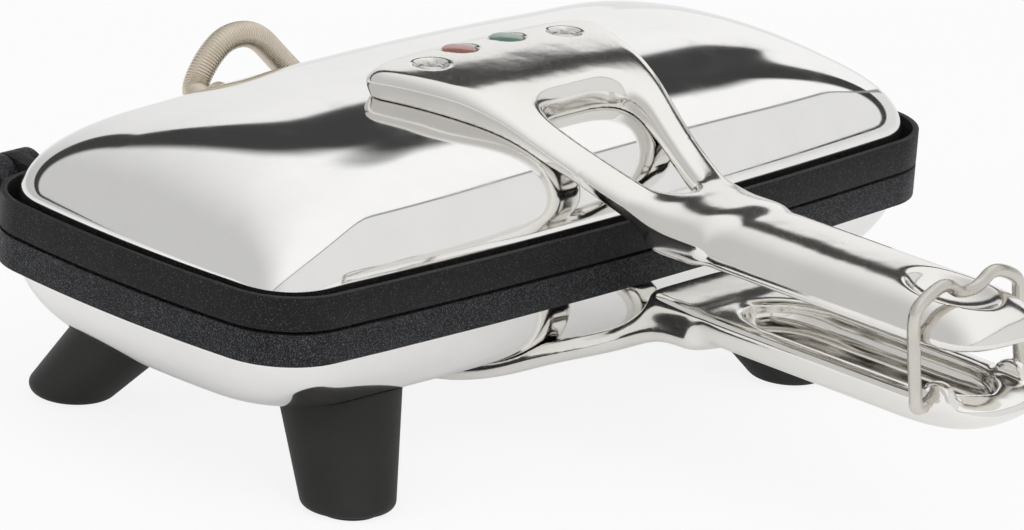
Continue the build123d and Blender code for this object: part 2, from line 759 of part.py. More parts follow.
def bush(form, place, radius, flange_radius, bore, reach_in):
    """Flanged bush through a shell's back wall, its flange cut to lie on the curved wall."""
    with BuildPart() as piece:
        extrude(disc(Plane.XZ.offset(-wall_y + 6), place, flange_radius), amount=-(6 + bush_flange))
        add(form.part, mode=Mode.SUBTRACT)
        extrude(disc(Plane.XZ.offset(-wall_y + reach_in), place, radius), amount=-(reach_in + bush_flange))
        extrude(disc(Plane.XZ.offset(-wall_y + reach_in + 1), place, bore), amount=-(reach_in + 20),
                mode=Mode.SUBTRACT)
    return piece


conduit_bush_lid = bush(lid_form, lid_exit, bush_radius, bush_flange_radius, hose_bore_radius, bush_reach)
conduit_bush_base = bush(base_form, base_exit, bush_radius, bush_flange_radius, hose_bore_radius, bush_reach)
cord_inlet = bush(base_form, inlet, inlet_radius, inlet_flange_radius, inlet_bore_radius, bush_reach)

# conduit: route from the base bush up behind the hinge line, over and down into the lid bush
bush_face = wall_y + bush_flange
hose_y = rim_width / 2 + hose_stand
hose_route = [
    (lid_exit[0], bush_face, lid_exit[1]),
    (lid_exit[0], hose_y, lid_exit[1]),
    (lid_exit[0] + 6, hose_y - 1, hose_crown),
    (lid_exit[0] + 33, hose_y - 1.5, hose_crown),
    (base_exit[0] - 16, hose_y - 2, (hose_crown + base_exit[1]) / 2 + 2.5),
    (base_exit[0], hose_y, base_exit[1]),
    (base_exit[0], bush_face, base_exit[1]),
]
hose_bends = [7.5, 11.0, 24.0, 60.0, 7.5]

with BuildLine() as hose_line:
    FilletPolyline(*hose_route, radius=hose_bends)

hose_wire = hose_line.wires()[0]
rib_count = int((hose_wire.length - 4 * hose_radius) / hose_pitch)
hose_steps = [(0.0, hose_radius)]
for rib in range(rib_count):
    foot_at = 2 * hose_radius + rib * hose_pitch
    for share, sunk in ((0.0, 0), (0.55, 0), (0.62, hose_groove), (0.93, hose_groove)):
        radius = hose_radius - sunk
        hose_steps.append((foot_at + share * hose_pitch, radius))
hose_steps += [(2 * hose_radius + rib_count * hose_pitch, hose_radius), (hose_wire.length, hose_radius)]


def hose_rings(steps):
    """Circles square to the route, turned as little as possible from one to the next."""
    across = Vector(0, 0, 1)
    rings = []
    for distance, radius in steps:
        place = hose_wire.position_at(distance, position_mode=PositionMode.LENGTH)
        ahead = hose_wire.tangent_at(distance, position_mode=PositionMode.LENGTH)
        across = (across - ahead * across.dot(ahead)).normalized()
        rings.append(disc(Plane(place, x_dir=across, z_dir=ahead), (0, 0), radius))
    return rings


with BuildPart() as conduit:
    loft(hose_rings(hose_steps), ruled=True)
    bore_steps = [(distance, hose_bore_radius) for distance, radius in hose_steps]
    loft(hose_rings(bore_steps), ruled=True, mode=Mode.SUBTRACT)

# bail: legs hooked into the lower grip, and a waved bar over the upper one
top_y = bail_pivot_y + bail_lean
bail_points = [
    (-bail_half + bail_hook, bail_pivot_y, bail_pivot_z),
    (-bail_half, bail_pivot_y, bail_pivot_z),
    (-bail_half, top_y, bail_top_z - 1.0),
    (-bail_half * 0.45, top_y, bail_top_z + bail_wave),
    (0, top_y, bail_top_z - bail_wave),
    (bail_half * 0.45, top_y, bail_top_z + bail_wave),
    (bail_half, top_y, bail_top_z - 1.0),
    (bail_half, bail_pivot_y, bail_pivot_z),
    (bail_half - bail_hook, bail_pivot_y, bail_pivot_z),
]
with BuildPart() as latch_wire:
    with BuildLine():
        FilletPolyline(*bail_points, radius=[2.6, bail_bend, bail_bend, bail_bend, bail_bend, bail_bend, 2.6])
    with BuildSketch(Plane(bail_points[0], x_dir=(0, 1, 0), z_dir=(-1, 0, 0))):
        Circle(wire_radius)
    sweep()

pieces = {
    "lower_plate": lower_plate,
    "upper_plate": upper_plate,
    "hinge_pin_left": hinge_pins["left"],
    "hinge_pin_right": hinge_pins["right"],
    "lid_shell": lid_shell,
    "base_shell": base_shell,
    **feet,
    "foot_pads": foot_pads,
    "foot_screws": foot_screws,
    "upper_handle": upper_handle,
    "lower_handle": lower_handle,
    "upper_handle_screws": upper_handle_screws,
    "lower_handle_screws": lower_handle_screws,
    "base_shell_screws": base_shell_screws,
    "heating_lens": heating_lens,
    "ready_lens": ready_lens,
    "lamp_holder": lamp_holder,
    "neon_lamps": neon_lamps,
    "lower_element": lower_element,
    "upper_element": upper_element,
    "lower_element_clips": lower_element_clips,
    "upper_element_clips": upper_element_clips,
    "lower_reflector": lower_reflector,
    "upper_reflector": upper_reflector,
    "thermostat": thermostat,
    "thermal_fuse": thermal_fuse,
    "terminal_block": terminal_block,
    "terminal_screws": terminal_screws,
    "cord_clamp": cord_clamp,
    "cord_inlet": cord_inlet,
    "conduit_bush_lid": conduit_bush_lid,
    "conduit_bush_base": conduit_bush_base,
    "conduit": conduit,
    "latch_wire": latch_wire,
}

# the rearmost thing is a hinge ear, the foremost the two noses
middle_y = (hinge_y + hinge_knuckle + nose_y) / 2
stand = Location((0, -middle_y, floor_depth))
for label, piece in pieces.items():
    piece.part.label = label
    export_step(piece.part.moved(stand), f"parts/{label}.step")
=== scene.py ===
import json
from math import cos, pi, radians, sin

import bmesh
import bpy
import numpy as np
from mathutils import Matrix, Vector


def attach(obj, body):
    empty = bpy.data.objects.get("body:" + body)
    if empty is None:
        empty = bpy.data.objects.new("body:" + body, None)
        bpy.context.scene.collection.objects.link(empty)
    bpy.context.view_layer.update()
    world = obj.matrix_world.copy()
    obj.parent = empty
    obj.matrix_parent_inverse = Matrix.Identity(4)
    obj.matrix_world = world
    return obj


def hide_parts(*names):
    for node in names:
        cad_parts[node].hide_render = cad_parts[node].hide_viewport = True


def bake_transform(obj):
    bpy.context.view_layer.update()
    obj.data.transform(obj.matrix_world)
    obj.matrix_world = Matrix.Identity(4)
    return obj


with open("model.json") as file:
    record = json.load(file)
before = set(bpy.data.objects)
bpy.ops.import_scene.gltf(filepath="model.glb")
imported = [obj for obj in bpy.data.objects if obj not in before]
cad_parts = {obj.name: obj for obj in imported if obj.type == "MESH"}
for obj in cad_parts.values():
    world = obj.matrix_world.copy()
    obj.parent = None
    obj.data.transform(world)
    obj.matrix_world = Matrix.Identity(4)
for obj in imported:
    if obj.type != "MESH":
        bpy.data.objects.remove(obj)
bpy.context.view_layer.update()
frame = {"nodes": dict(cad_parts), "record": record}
nodes = frame["nodes"]
print("frame loaded:", len(nodes), "nodes")

# Lengths in this file are millimetres from the middle of the seam between the plates, as in the
# part's drawing: x along the plates, -y to the grips, z up. toFrame() puts them in the frame.
seamMiddle = {"y": 63.2, "z": 64.0}

# The camera, turned round the object as the photograph was taken
cameraSetup = {
    "azimuth": -47.79,  # degrees
    "elevation": 18.92,
    "roll": 4.32,
    "distance": 2091.0,
    "aside": 12.43,  # the aim, to the right of and above the middle of the seam
    "above": -22.46,
    "lens": 248.1,  # mm on a 36 mm wide sensor
}

# The studio: bright all round, with a dark strip up behind the object, a greyer panel in front with
# a thin dark line along its edge, and less light from the left. Angles are degrees from the horizon
# behind the object, up and over it. An edge is the width of a soft change.
studio = {
    "skyLevel": 1.0,
    "backLevel": 0.95,  # low down behind the object
    "backEnd": (20.0, 30.0),  # the angle where that ends, and its edge
    "darkLevel": 0.05,
    "darkStrip": (20.6, 34.0),
    "darkEdges": (0.8, 5.0),
    "stripTurn": 4.0,  # degrees round from straight behind the object
    "frontLevel": 0.8,
    "panelAxis": (0.384, -0.774, -0.504),  # out of the panel's plane, into the panel
    "panelEdge": 0.04,
    "thinLevel": 0.3,
    "thinStrip": (-0.02, 0.008),  # sines of the angle from the panel's plane
    "thinEdges": (0.01, 0.02),
    "leftLevel": 0.6,
    "leftStart": (0.25, 0.8),  # sine of the angle to the left, and its edge
    "floorColour": (0.9, 0.9, 0.9, 1.0),
    "floorHalf": 6.0,  # metres
    "floorWhite": {"Is Camera Ray": 0.86, "Is Glossy Ray": 0.25},
    "lamps": {
        "keyLamp": {"place": (-0.7, -1.3, 1.5), "size": (1.0, 0.7), "power": 9},
        "sideLamp": {"place": (-1.6, 0.5, 0.7), "size": (0.7, 0.5), "power": 4},
    },
    "lampAim": (0, 0, 0.06),
}


def toFrame(points):
    # millimetres in the drawing to metres in the frame
    moved = np.array(points, float)
    moved[..., 1] += seamMiddle["y"]
    moved[..., 2] += seamMiddle["z"]
    return moved * 0.001


def placed(name, data):
    # a new object in the scene
    made = bpy.data.objects.new(name, data)
    bpy.context.scene.collection.objects.link(made)
    return made


def addCamera():
    # back is the direction from the aim to the eye; right and up are turned about it by the roll
    a, e, r = (radians(cameraSetup[key]) for key in ("azimuth", "elevation", "roll"))
    back = Vector((sin(a) * cos(e), -cos(a) * cos(e), sin(e)))
    level = (-back).cross(Vector((0, 0, 1))).normalized()
    lifted = level.cross(-back)
    right = level * cos(r) + lifted * sin(r)
    up = lifted * cos(r) - level * sin(r)
    eye = back * cameraSetup["distance"] + right * cameraSetup["aside"] + up * cameraSetup["above"]
    data = bpy.data.cameras.new("camera")
    data.lens = cameraSetup["lens"]
    data.sensor_width = 36
    data.clip_start, data.clip_end = 0.05, 50
    camera = placed("camera", data)
    turn = Matrix((right, up, back)).transposed().to_4x4()
    camera.matrix_world = Matrix.Translation(Vector(toFrame(list(eye)))) @ turn
    bpy.context.scene.camera = camera
    return back


towardsCamera = addCamera()
bpy.context.scene.view_settings.view_transform = "Standard"
print("camera set")


# Shader arithmetic

class Value:
    # one output of a node, with the arithmetic that the finishes use
    def __init__(self, paint, output):
        self.paint, self.output = paint, output

    def join(self, operation, other, flipped=False):
        pair = (other, self) if flipped else (self, other)
        return self.paint.node("ShaderNodeMath", {"operation": operation}, {0: pair[0], 1: pair[1]})

    def __add__(self, other):
        return self.join("ADD", other)

    def __radd__(self, other):
        return self.join("ADD", other, True)

    def __sub__(self, other):
        return self.join("SUBTRACT", other)

    def __rsub__(self, other):
        return self.join("SUBTRACT", other, True)

    def __mul__(self, other):
        return self.join("MULTIPLY", other)

    def __rmul__(self, other):
        return self.join("MULTIPLY", other, True)

    def above(self, limit, width):
        # 0 below the limit, rising smoothly to 1 over the width
        sockets = {"Value": self, "From Min": limit - width / 2, "From Max": limit + width / 2}
        return self.paint.node("ShaderNodeMapRange", {"interpolation_type": "SMOOTHSTEP"}, sockets)

    def between(self, low, high, lowWidth, highWidth):
        return self.above(low, lowWidth) * (1 - self.above(high, highWidth))


class Paint:
    # a node tree with one short way to add a node
    def __init__(self, tree):
        self.tree = tree
        tree.nodes.clear()

    def node(self, kind, settings=None, sockets=None, output=0):
        # settings are the node's own, sockets its inputs by name or number, as values or links
        made = self.tree.nodes.new(kind)
        for key, value in (settings or {}).items():
            setattr(made, key, value)
        for key, value in (sockets or {}).items():
            if isinstance(value, Value):
                self.tree.links.new(value.output, made.inputs[key])
            else:
                made.inputs[key].default_value = value
        return Value(self, made.outputs[output]) if made.outputs else None

    def place(self, scale, turn=(0, 0, 0)):
        # the piece's own coordinates, in metres, times a scale in each direction
        spot = self.node("ShaderNodeTexCoord", output="Object")
        stretch = (scale,) * 3 if isinstance(scale, (int, float)) else scale
        sockets = {"Vector": spot, "Scale": stretch, "Rotation": turn}
        return self.node("ShaderNodeMapping", {}, sockets)

    def noise(self, perMetre, detail, roughness=0.5, turn=(0, 0, 0)):
        sockets = {"Vector": self.place(perMetre, turn), "Scale": 1.0, "Detail": detail,
                   "Roughness": roughness}
        return self.node("ShaderNodeTexNoise", {}, sockets)

    def cells(self, perMetre):
        # one random colour for each cell
        sockets = {"Vector": self.place(perMetre), "Scale": 1.0}
        return self.node("ShaderNodeTexVoronoi", {}, sockets, "Color")

    def mix(self, share, tints):
        # inputs 6 and 7 and output 2 are the colour ones
        first, second = (colour(*t) if isinstance(t, tuple) else t for t in tints)
        settings = {"data_type": "RGBA"}
        return self.node("ShaderNodeMix", settings, {0: share, 6: first, 7: second}, output=2)

    def bump(self, height, distance):
        return self.node("ShaderNodeBump", {}, {"Height": height, "Distance": distance})


def colour(red, green, blue):
    return (red, green, blue, 1.0)


def newFinish(name, varying, constants=None):
    # varying is a function of the paint that returns the sockets that change over the surface
    material = bpy.data.materials.new(name)
    material.use_nodes = True
    paint = Paint(material.node_tree)
    sockets = {**varying(paint), **(constants or {})}
    shader = paint.node("ShaderNodeBsdfPrincipled", {}, sockets)
    paint.node("ShaderNodeOutputMaterial", {}, {"Surface": shader})
    return material


# Finishes. Noise is given as patterns per metre, detail and roughness, bump in metres.

sheetFinish = {
    "tints": ((0.95, 0.942, 0.93), (0.88, 0.872, 0.86)),
    "waves": (26, 1.0),
    "hazes": (75, 4.0, 0.6),
    "wipes": ((90, 2600, 2600), 2.0, 0.6),
    "wipeTurn": 17,  # degrees
    "roughness": 0.045,
    "haze": 0.05,
    "hazeFrom": (0.6, 0.3),  # the noise where it sets in, and its edge
    "wipe": 0.025,
    "wipeHeight": 0.004,
    "bump": 0.00003,
}


def polishedSheet(paint):
    # mirror-polished pressing: faint long waves, a few hazy patches and hair-fine wiping marks
    form = sheetFinish
    wave = paint.noise(*form["waves"])
    haze = paint.noise(*form["hazes"])
    wipe = paint.noise(*form["wipes"], (0, 0, radians(form["wipeTurn"])))
    hazy = form["haze"] * haze.above(*form["hazeFrom"])
    return {"Base Color": paint.mix(haze, form["tints"]),
            "Roughness": form["roughness"] + hazy + form["wipe"] * wipe,
            "Normal": paint.bump(wave + form["wipeHeight"] * wipe, form["bump"])}


castFinish = {
    "tints": ((0.92, 0.905, 0.875), (0.8, 0.78, 0.74)),
    "ripples": (95, 1.5, 0.45),
    "swells": (38, 1.0),
    "grains": (1400, 3.0, 0.65),
    "roughness": 0.08,
    "hazy": 0.09,
    "hazyFrom": (0.62, 0.3),  # the noise where it sets in, and its edge
    "swellRough": 0.05,
    "swellHeight": 1.6,
    "grainHeight": 0.01,
    "bump": 0.00012,
}


def polishedCasting(paint):
    # polished die casting: soft ripples from the buffing wheel, faintly warm, with hazy specks
    form = castFinish
    ripple, swell, grain = (paint.noise(*form[key]) for key in ("ripples", "swells", "grains"))
    hazy = form["hazy"] * grain.above(*form["hazyFrom"])
    height = ripple + form["swellHeight"] * swell + form["grainHeight"] * grain
    return {"Base Color": paint.mix(swell, form["tints"]),
            "Roughness": form["roughness"] + hazy + form["swellRough"] * swell,
            "Normal": paint.bump(height, form["bump"])}


coatFinish = {
    "tints": ((0.0065, 0.006, 0.006), (0.012, 0.011, 0.0105)),
    "fleck": (0.17, 0.185, 0.22),
    "films": (900, 3.0, 0.6),
    "patches": (60, 2.0),
    "patchShare": (0.25, 0.5),  # least of the second tint, and what the patches add
    "cells": 6200,  # per metre, one fleck at most in each
    "fleckEdge": 0.05,
    "fleckShare": 0.6,
    "roughness": 0.47,
    "fleckGloss": 0.22,
    "filmRough": 0.12,
    "cellHeight": 0.6,
    "upper": (0.03, 0.00005),  # share of cells with a fleck, and bump
    "lower": (0.15, 0.00007),
}


def coatedPlate(flecks, pebble):
    # black non-stick coating: a pebbled film with pale mineral flecks
    def varying(paint):
        form = coatFinish
        film = paint.noise(*form["films"])
        cell = paint.cells(form["cells"])
        spark = paint.node("ShaderNodeSeparateColor", {}, {"Color": cell}, "Red")
        bright = spark.above(1 - flecks, form["fleckEdge"])
        least, more = form["patchShare"]
        base = paint.mix(least + more * paint.noise(*form["patches"]), form["tints"])
        rough = form["roughness"] - form["fleckGloss"] * bright + form["filmRough"] * film
        return {"Base Color": paint.mix(bright * form["fleckShare"], (base, form["fleck"])),
                "Roughness": rough, "Normal": paint.bump(film + form["cellHeight"] * spark, pebble)}
    return varying


def cloudedSkin(form):
    # two tints mixed by clouds; a grain makes the gloss uneven and lifts the surface:
    # roughness = first + second * grain + third * cloud
    def varying(paint):
        cloud = paint.noise(*form["clouds"])
        grain = paint.noise(*form.get("grains", form["clouds"]))
        rough, byGrain, byCloud = form["roughness"]
        return {"Base Color": paint.mix(cloud, form["tints"]),
                "Roughness": rough + byGrain * grain + byCloud * cloud,
                "Normal": paint.bump(grain, form["bump"])}
    return varying


def mould(name, light, dark, rough, shader=None):
    # moulded or ceramic piece: slight clouding and a fine grain
    return {"name": name, "tints": (light, dark), "clouds": (180, 3.0, 0.6),
            "grains": (2400, 2.0, 0.6), "roughness": (rough, 0.1, 0), "bump": 0.00003,
            "shader": shader}


def plainMetal(name, light, dark, rough, perMetre):
    # metal with clouded tint, its grain 22 times finer
    return {"name": name, "tints": (light, dark), "clouds": (perMetre, 3.0, 0.6),
            "grains": (perMetre * 22, 2.0, 0.6), "roughness": (rough, 0.15, 0), "bump": 0.00002,
            "shader": metal}


def lens(name, light, dark):
    # translucent lens, its gloss following its clouds
    return {"name": name, "tints": (light, dark), "clouds": (420, 2.0, 0.5),
            "roughness": (0.16, 0.08, 0), "bump": 0.00004, "shader": lensShader}


metal = {"Metallic": 1.0}
darkShader = {"Specular IOR Level": 0.2}
mouldShader = {"Specular IOR Level": 0.4}
glassShader = {"Transmission Weight": 0.7, "IOR": 1.45}
lensShader = {"Subsurface Weight": 0.35, "Subsurface Radius": (0.004, 0.004, 0.004),
              "Coat Weight": 0.6, "Coat Roughness": 0.05}
skins = {
    # satin heat-proof moulding with a fine eroded grain
    "black_foot": {"name": "mouldedBlack",
                   "tints": ((0.009, 0.0085, 0.008), (0.019, 0.0185, 0.017)), "clouds": (45, 3.0),
                   "grains": (2300, 2.0, 0.6), "roughness": (0.42, 0.12, 0.06), "bump": 0.00004,
                   "shader": mouldShader},
    "foot_rubber": {"name": "matRubber", "tints": ((0.02, 0.02, 0.02), (0.05, 0.048, 0.045)),
                    "clouds": (1500, 3.0, 0.7), "roughness": (0.72, 0.15, 0), "bump": 0.00008},
    # drawn and plated wire: satin, with faint marks along it
    "wire_nickel": {"name": "satinWire", "tints": ((0.76, 0.73, 0.68), (0.58, 0.55, 0.51)),
                    "clouds": (120, 2.0), "grains": ((2600, 2600, 300), 2.0, 0.6),
                    "roughness": (0.2, 0.12, 0), "bump": 0.00003, "shader": metal},
    # warm plating on wound strip, browner where it is handled less
    "conduit_steel": {"name": "conduitSteel", "tints": ((0.8, 0.73, 0.62), (0.66, 0.575, 0.46)),
                      "clouds": (140, 3.0), "grains": (3000, 2.0), "roughness": (0.3, 0.1, 0),
                      "bump": 0.00002, "shader": metal},
    "screw_steel": plainMetal("screwSteel", (0.8, 0.79, 0.77), (0.68, 0.67, 0.65), 0.14, 160),
    "element_steel": plainMetal("elementSteel", (0.3, 0.27, 0.25), (0.17, 0.14, 0.13), 0.4, 120),
    "reflector_aluminium": plainMetal("reflectorSheet", (0.76, 0.76, 0.77), (0.66, 0.66, 0.66),
                                      0.3, 60),
    "thermostat_steel": plainMetal("thermostatSteel", (0.6, 0.58, 0.55), (0.45, 0.43, 0.4), 0.3,
                                   160),
    "terminal_brass": plainMetal("terminalBrass", (0.75, 0.58, 0.27), (0.6, 0.43, 0.18), 0.25, 160),
    "cream_holder": mould("creamHolder", (0.68, 0.62, 0.48), (0.6, 0.53, 0.4), 0.5),
    "white_block": mould("whiteBlock", (0.76, 0.75, 0.7), (0.68, 0.66, 0.6), 0.55),
    "black_bush": mould("blackBush", (0.03, 0.03, 0.03), (0.018, 0.018, 0.018), 0.45),
    "lamp_glass": mould("lampGlass", (0.85, 0.82, 0.78), (0.75, 0.7, 0.66), 0.06, glassShader),
    "red_lens": lens("redLens", (0.36, 0.13, 0.1), (0.26, 0.08, 0.065)),
    "green_lens": lens("greenLens", (0.15, 0.25, 0.2), (0.09, 0.18, 0.14)),
}
finishes = {
    "polished_shell": newFinish("polishedSheet", polishedSheet, metal),
    "polished_casting": newFinish("polishedCasting", polishedCasting, metal),
    "coated_plate": newFinish("coatedPlate", coatedPlate(*coatFinish["upper"]), darkShader),
    "lower_coating": newFinish("coatedPlateRough", coatedPlate(*coatFinish["lower"]), darkShader),
}
for slotName, form in skins.items():
    finishes[slotName] = newFinish(form["name"], cloudedSkin(form), form.get("shader"))
print("finishes made:", len(finishes))


# Meshes from arrays

replaced = set()


def newPiece(name, points, faces, body, slotName, stands):
    # points in millimetres in the drawing; the piece lies at the origin with its place in its mesh.
    # It stands for the CAD nodes in the list.
    mesh = bpy.data.meshes.new(name)
    mesh.from_pydata(toFrame(points).tolist(), [], faces)
    mesh.polygons.foreach_set("use_smooth", np.ones(len(mesh.polygons), bool))
    mesh.update()
    mesh.validate()
    piece = placed(name, mesh)
    mesh.materials.append(finishes[slotName])
    if body:
        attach(piece, body)
    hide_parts(*stands)
    replaced.update(stands)
    return piece


def gridFaces(rows, columns):
    # quads between each row and the next, the columns closed into a ring
    row, column = np.mgrid[0:rows - 1, 0:columns]
    ahead = (column + 1) % columns
    quads = np.stack([row * columns + column, row * columns + ahead,
                      (row + 1) * columns + ahead, (row + 1) * columns + column], -1)
    return quads.reshape(-1, 4).tolist()


def closedGrid(rings):
    # rings is rows x columns x 3; both ends are closed by a fan to the middle of the end ring
    rows, columns = rings.shape[:2]
    points = np.concatenate([rings.reshape(-1, 3), rings[:1].mean(1), rings[-1:].mean(1)])
    faces = gridFaces(rows, columns)
    start, stop, last = rows * columns, rows * columns + 1, (rows - 1) * columns
    faces += [[(c + 1) % columns, c, start] for c in range(columns)]
    faces += [[last + c, last + (c + 1) % columns, stop] for c in range(columns)]
    return points, faces


def carried(path, radii, sides, across=(0, 0, 1)):
    # a circle carried along a path, turned as little as possible from one point to the next:
    # ring = centre + radius * (side * cos + other side * sin)
    path = np.array(path, float)
    ahead = np.gradient(path, axis=0)
    ahead /= np.linalg.norm(ahead, axis=1)[:, None]
    side = np.zeros_like(path)
    carry = np.array(across, float)
    for step, along in enumerate(ahead):
        carry = carry - along * (carry @ along)
        carry /= np.linalg.norm(carry)
        side[step] = carry
    other = np.cross(ahead, side)
    angle = np.arange(sides) * 2 * pi / sides
    ring = side[:, None] * np.cos(angle)[:, None] + other[:, None] * np.sin(angle)[:, None]
    return path[:, None] + ring * np.broadcast_to(radii, len(path))[:, None, None]


def softened(points, rounds=5):
    # corner cutting, which tends to a quadratic spline: each run keeps the points at 1/4 and 3/4
    points = np.array(points, float)
    for _ in range(rounds):
        runs = np.diff(points, axis=0)
        cut = np.stack([points[:-1] + runs * 0.25, points[:-1] + runs * 0.75], 1).reshape(-1, 3)
        points = np.concatenate([points[:1], cut, points[-1:]])
    return points


def evenly(path, count):
    # the same line with its points at equal distances
    length = np.concatenate([[0], np.cumsum(np.linalg.norm(np.diff(path, axis=0), axis=1))])
    wanted = np.linspace(0, length[-1], count)
    return np.stack([np.interp(wanted, length, path[:, k]) for k in range(3)], -1), length[-1]


# The shells

# the plates' rims; the shells stand back from them by the gap
rim = {"halfX": 144.5, "halfY": 69.0, "bowX": 4.7, "bowY": 5.4, "gap": 4.3}
lidDome = {
    "side": 1,  # above the seam
    "crown": 37.5,
    "straight": 7.9,  # height where the sides begin to curve in
    "reach": (78.0, 38.8),  # how far they curve in
    "power": (3.5, 2.5),
    "droop": (0.9, 1.6),
}
baseDome = {
    "side": -1,  # below it
    "crown": 37.0,
    "straight": 5.0,
    "reach": (42.0, 37.0),
    "power": (2.34, 2.34),
    "droop": (0, 0),
}
shellForm = {
    "seat": 3.5,  # height of the shell's edge
    "wall": 1.2,
    "corner": 19.0,
    "cornerGain": 13.0,  # by so much larger at the crown
    "cornerLimit": 0.85,  # of the half width
    "cornerPower": 2.35,
    "flat": (62.0, 26.0),  # half lengths of the flatter middle
    "droopPower": 1.5,
    "columns": 480,
    "sideRings": 46,
    "crownRings": (0.94, 0.03, 16),  # from and to these shares of the last side ring
    "halvings": {"height": 26, "outline": 40},
    "rayReach": 1.6,  # of the half widths, past every outline
    "away": -30.0,  # height given to places outside the dome, from the seat
}


def insideBy(x, y, halfX, halfY, corner, bowX, bowY):
    # how far a point lies inside a rectangle with bowed sides and rounded corners. In a corner that
    # is radius - ((radius - x distance) ^ p + (radius - y distance) ^ p) ^ (1 / p), from the sides.
    power = shellForm["cornerPower"]
    fromX = corner - (halfX - bowX * (y / (halfY - bowY)) ** 2 - np.abs(x))
    fromY = corner - (halfY - bowY * (x / (halfX - bowX)) ** 2 - np.abs(y))
    bend = (np.maximum(fromX, 0) ** power + np.maximum(fromY, 0) ** power) ** (1 / power)
    return corner - bend - np.minimum(np.maximum(fromX, fromY), 0)


def domeSection(dome, fall, wall):
    # fall is the cosine of the turn up the dome, 1 at its foot and 0 where its top is flat:
    # half width = foot's half width - reach * (1 - fall ^ (2 / power))
    reach = [span * (1 - fall ** (2 / power)) for span, power in zip(dome["reach"], dome["power"])]
    halfX = rim["halfX"] - rim["gap"] - wall - reach[0]
    halfY = rim["halfY"] - rim["gap"] - wall - reach[1]
    shrink = halfY / rim["halfY"]
    corner = shellForm["corner"] - wall + shellForm["cornerGain"] * (1 - fall)
    corner = np.minimum(corner, shellForm["cornerLimit"] * (halfY - rim["bowY"] * shrink))
    return halfX, halfY, corner, rim["bowX"] * shrink, rim["bowY"] * shrink


def drooped(dome, x, y, height):
    # the crown falls away from its middle as droop * u ^ 2, with u = distance / flat half, and past
    # u = 1 as droop * (2 - e ^ (2 - 2 u)); the fall fades to nothing down the side
    total = 0
    for spot, flat, droop in zip((x, y), shellForm["flat"], dome["droop"]):
        u = np.abs(spot) / flat
        total = total + droop * np.where(u < 1, u ** 2, 2 - np.exp(-2 * np.maximum(u - 1, 0)))
    share = np.clip((height - dome["straight"]) / (dome["crown"] - dome["straight"]), 0, 1)
    return height - total * share ** shellForm["droopPower"]


def domeHeight(dome, x, y):
    # height of the dome over a point, by halving the range of fall until the section meets it
    low, high = np.zeros_like(x), np.ones_like(x)
    for _ in range(shellForm["halvings"]["height"]):
        middle = (low + high) / 2
        inside = insideBy(x, y, *domeSection(dome, middle, 0.0)) > 0
        low, high = np.where(inside, low, middle), np.where(inside, middle, high)
    height = dome["straight"] + (dome["crown"] - dome["straight"]) * np.sqrt(1 - high ** 2)
    height = drooped(dome, x, y, height)
    outside = insideBy(x, y, *domeSection(dome, np.ones_like(x), 0.0)) < 0
    return np.where(outside, shellForm["seat"] + shellForm["away"], height)


def loopAt(section, columns):
    # the closed outline of each section, found along rays from the middle by halving
    section = np.broadcast_arrays(*section)
    halfX, halfY, corner, bowX, bowY = (np.atleast_1d(v)[:, None] for v in section)
    turn = np.arange(columns) * 2 * pi / columns
    rayX, rayY = halfX * np.cos(turn), halfY * np.sin(turn)
    low, high = np.zeros_like(rayX), np.full_like(rayX, shellForm["rayReach"])
    for _ in range(shellForm["halvings"]["outline"]):
        middle = (low + high) / 2
        inside = insideBy(rayX * middle, rayY * middle, halfX, halfY, corner, bowX, bowY) > 0
        low, high = np.where(inside, middle, low), np.where(inside, high, middle)
    return rayX * low, rayY * low


def domeSide(dome, wall, columns):
    # rings from the foot to the crown on one side of the sheet
    turn = np.concatenate([[0], np.linspace(0, 90, shellForm["sideRings"])])
    fall = np.cos(np.radians(turn))
    height = dome["straight"] + (dome["crown"] - wall - dome["straight"]) * np.sin(np.radians(turn))
    height[0] = shellForm["seat"]
    x, y = loopAt(domeSection(dome, np.clip(fall, 0, 1), wall), columns)
    inwards = np.linspace(*shellForm["crownRings"])[:, None]
    crown = height[-1] + np.zeros_like(inwards)
    x = np.concatenate([x, x[-1:] * inwards])
    y = np.concatenate([y, y[-1:] * inwards])
    height = np.broadcast_to(np.concatenate([height[:, None], crown]), x.shape)
    height = drooped(dome, x, y, height)
    return np.stack([x, y, dome["side"] * height], -1)


def addShell(name, dome, body, node):
    outer = domeSide(dome, 0.0, shellForm["columns"])
    inner = domeSide(dome, shellForm["wall"], shellForm["columns"])[::-1]
    rings = np.concatenate([inner, outer])
    if dome["side"] < 0:
        rings = rings[:, ::-1]
    points, faces = closedGrid(rings)
    newPiece(name, points, faces, body, "polished_shell", [node])


addShell("lidShellPolished", lidDome, "lid", "lid_shell")
addShell("baseShellPolished", baseDome, "base", "base_shell")
print("shells made")


# The handle castings, each the skin of a field that is the distance from it, negative inside.
# z runs away from the seam, so that one field serves both. A round is the width of a blend.

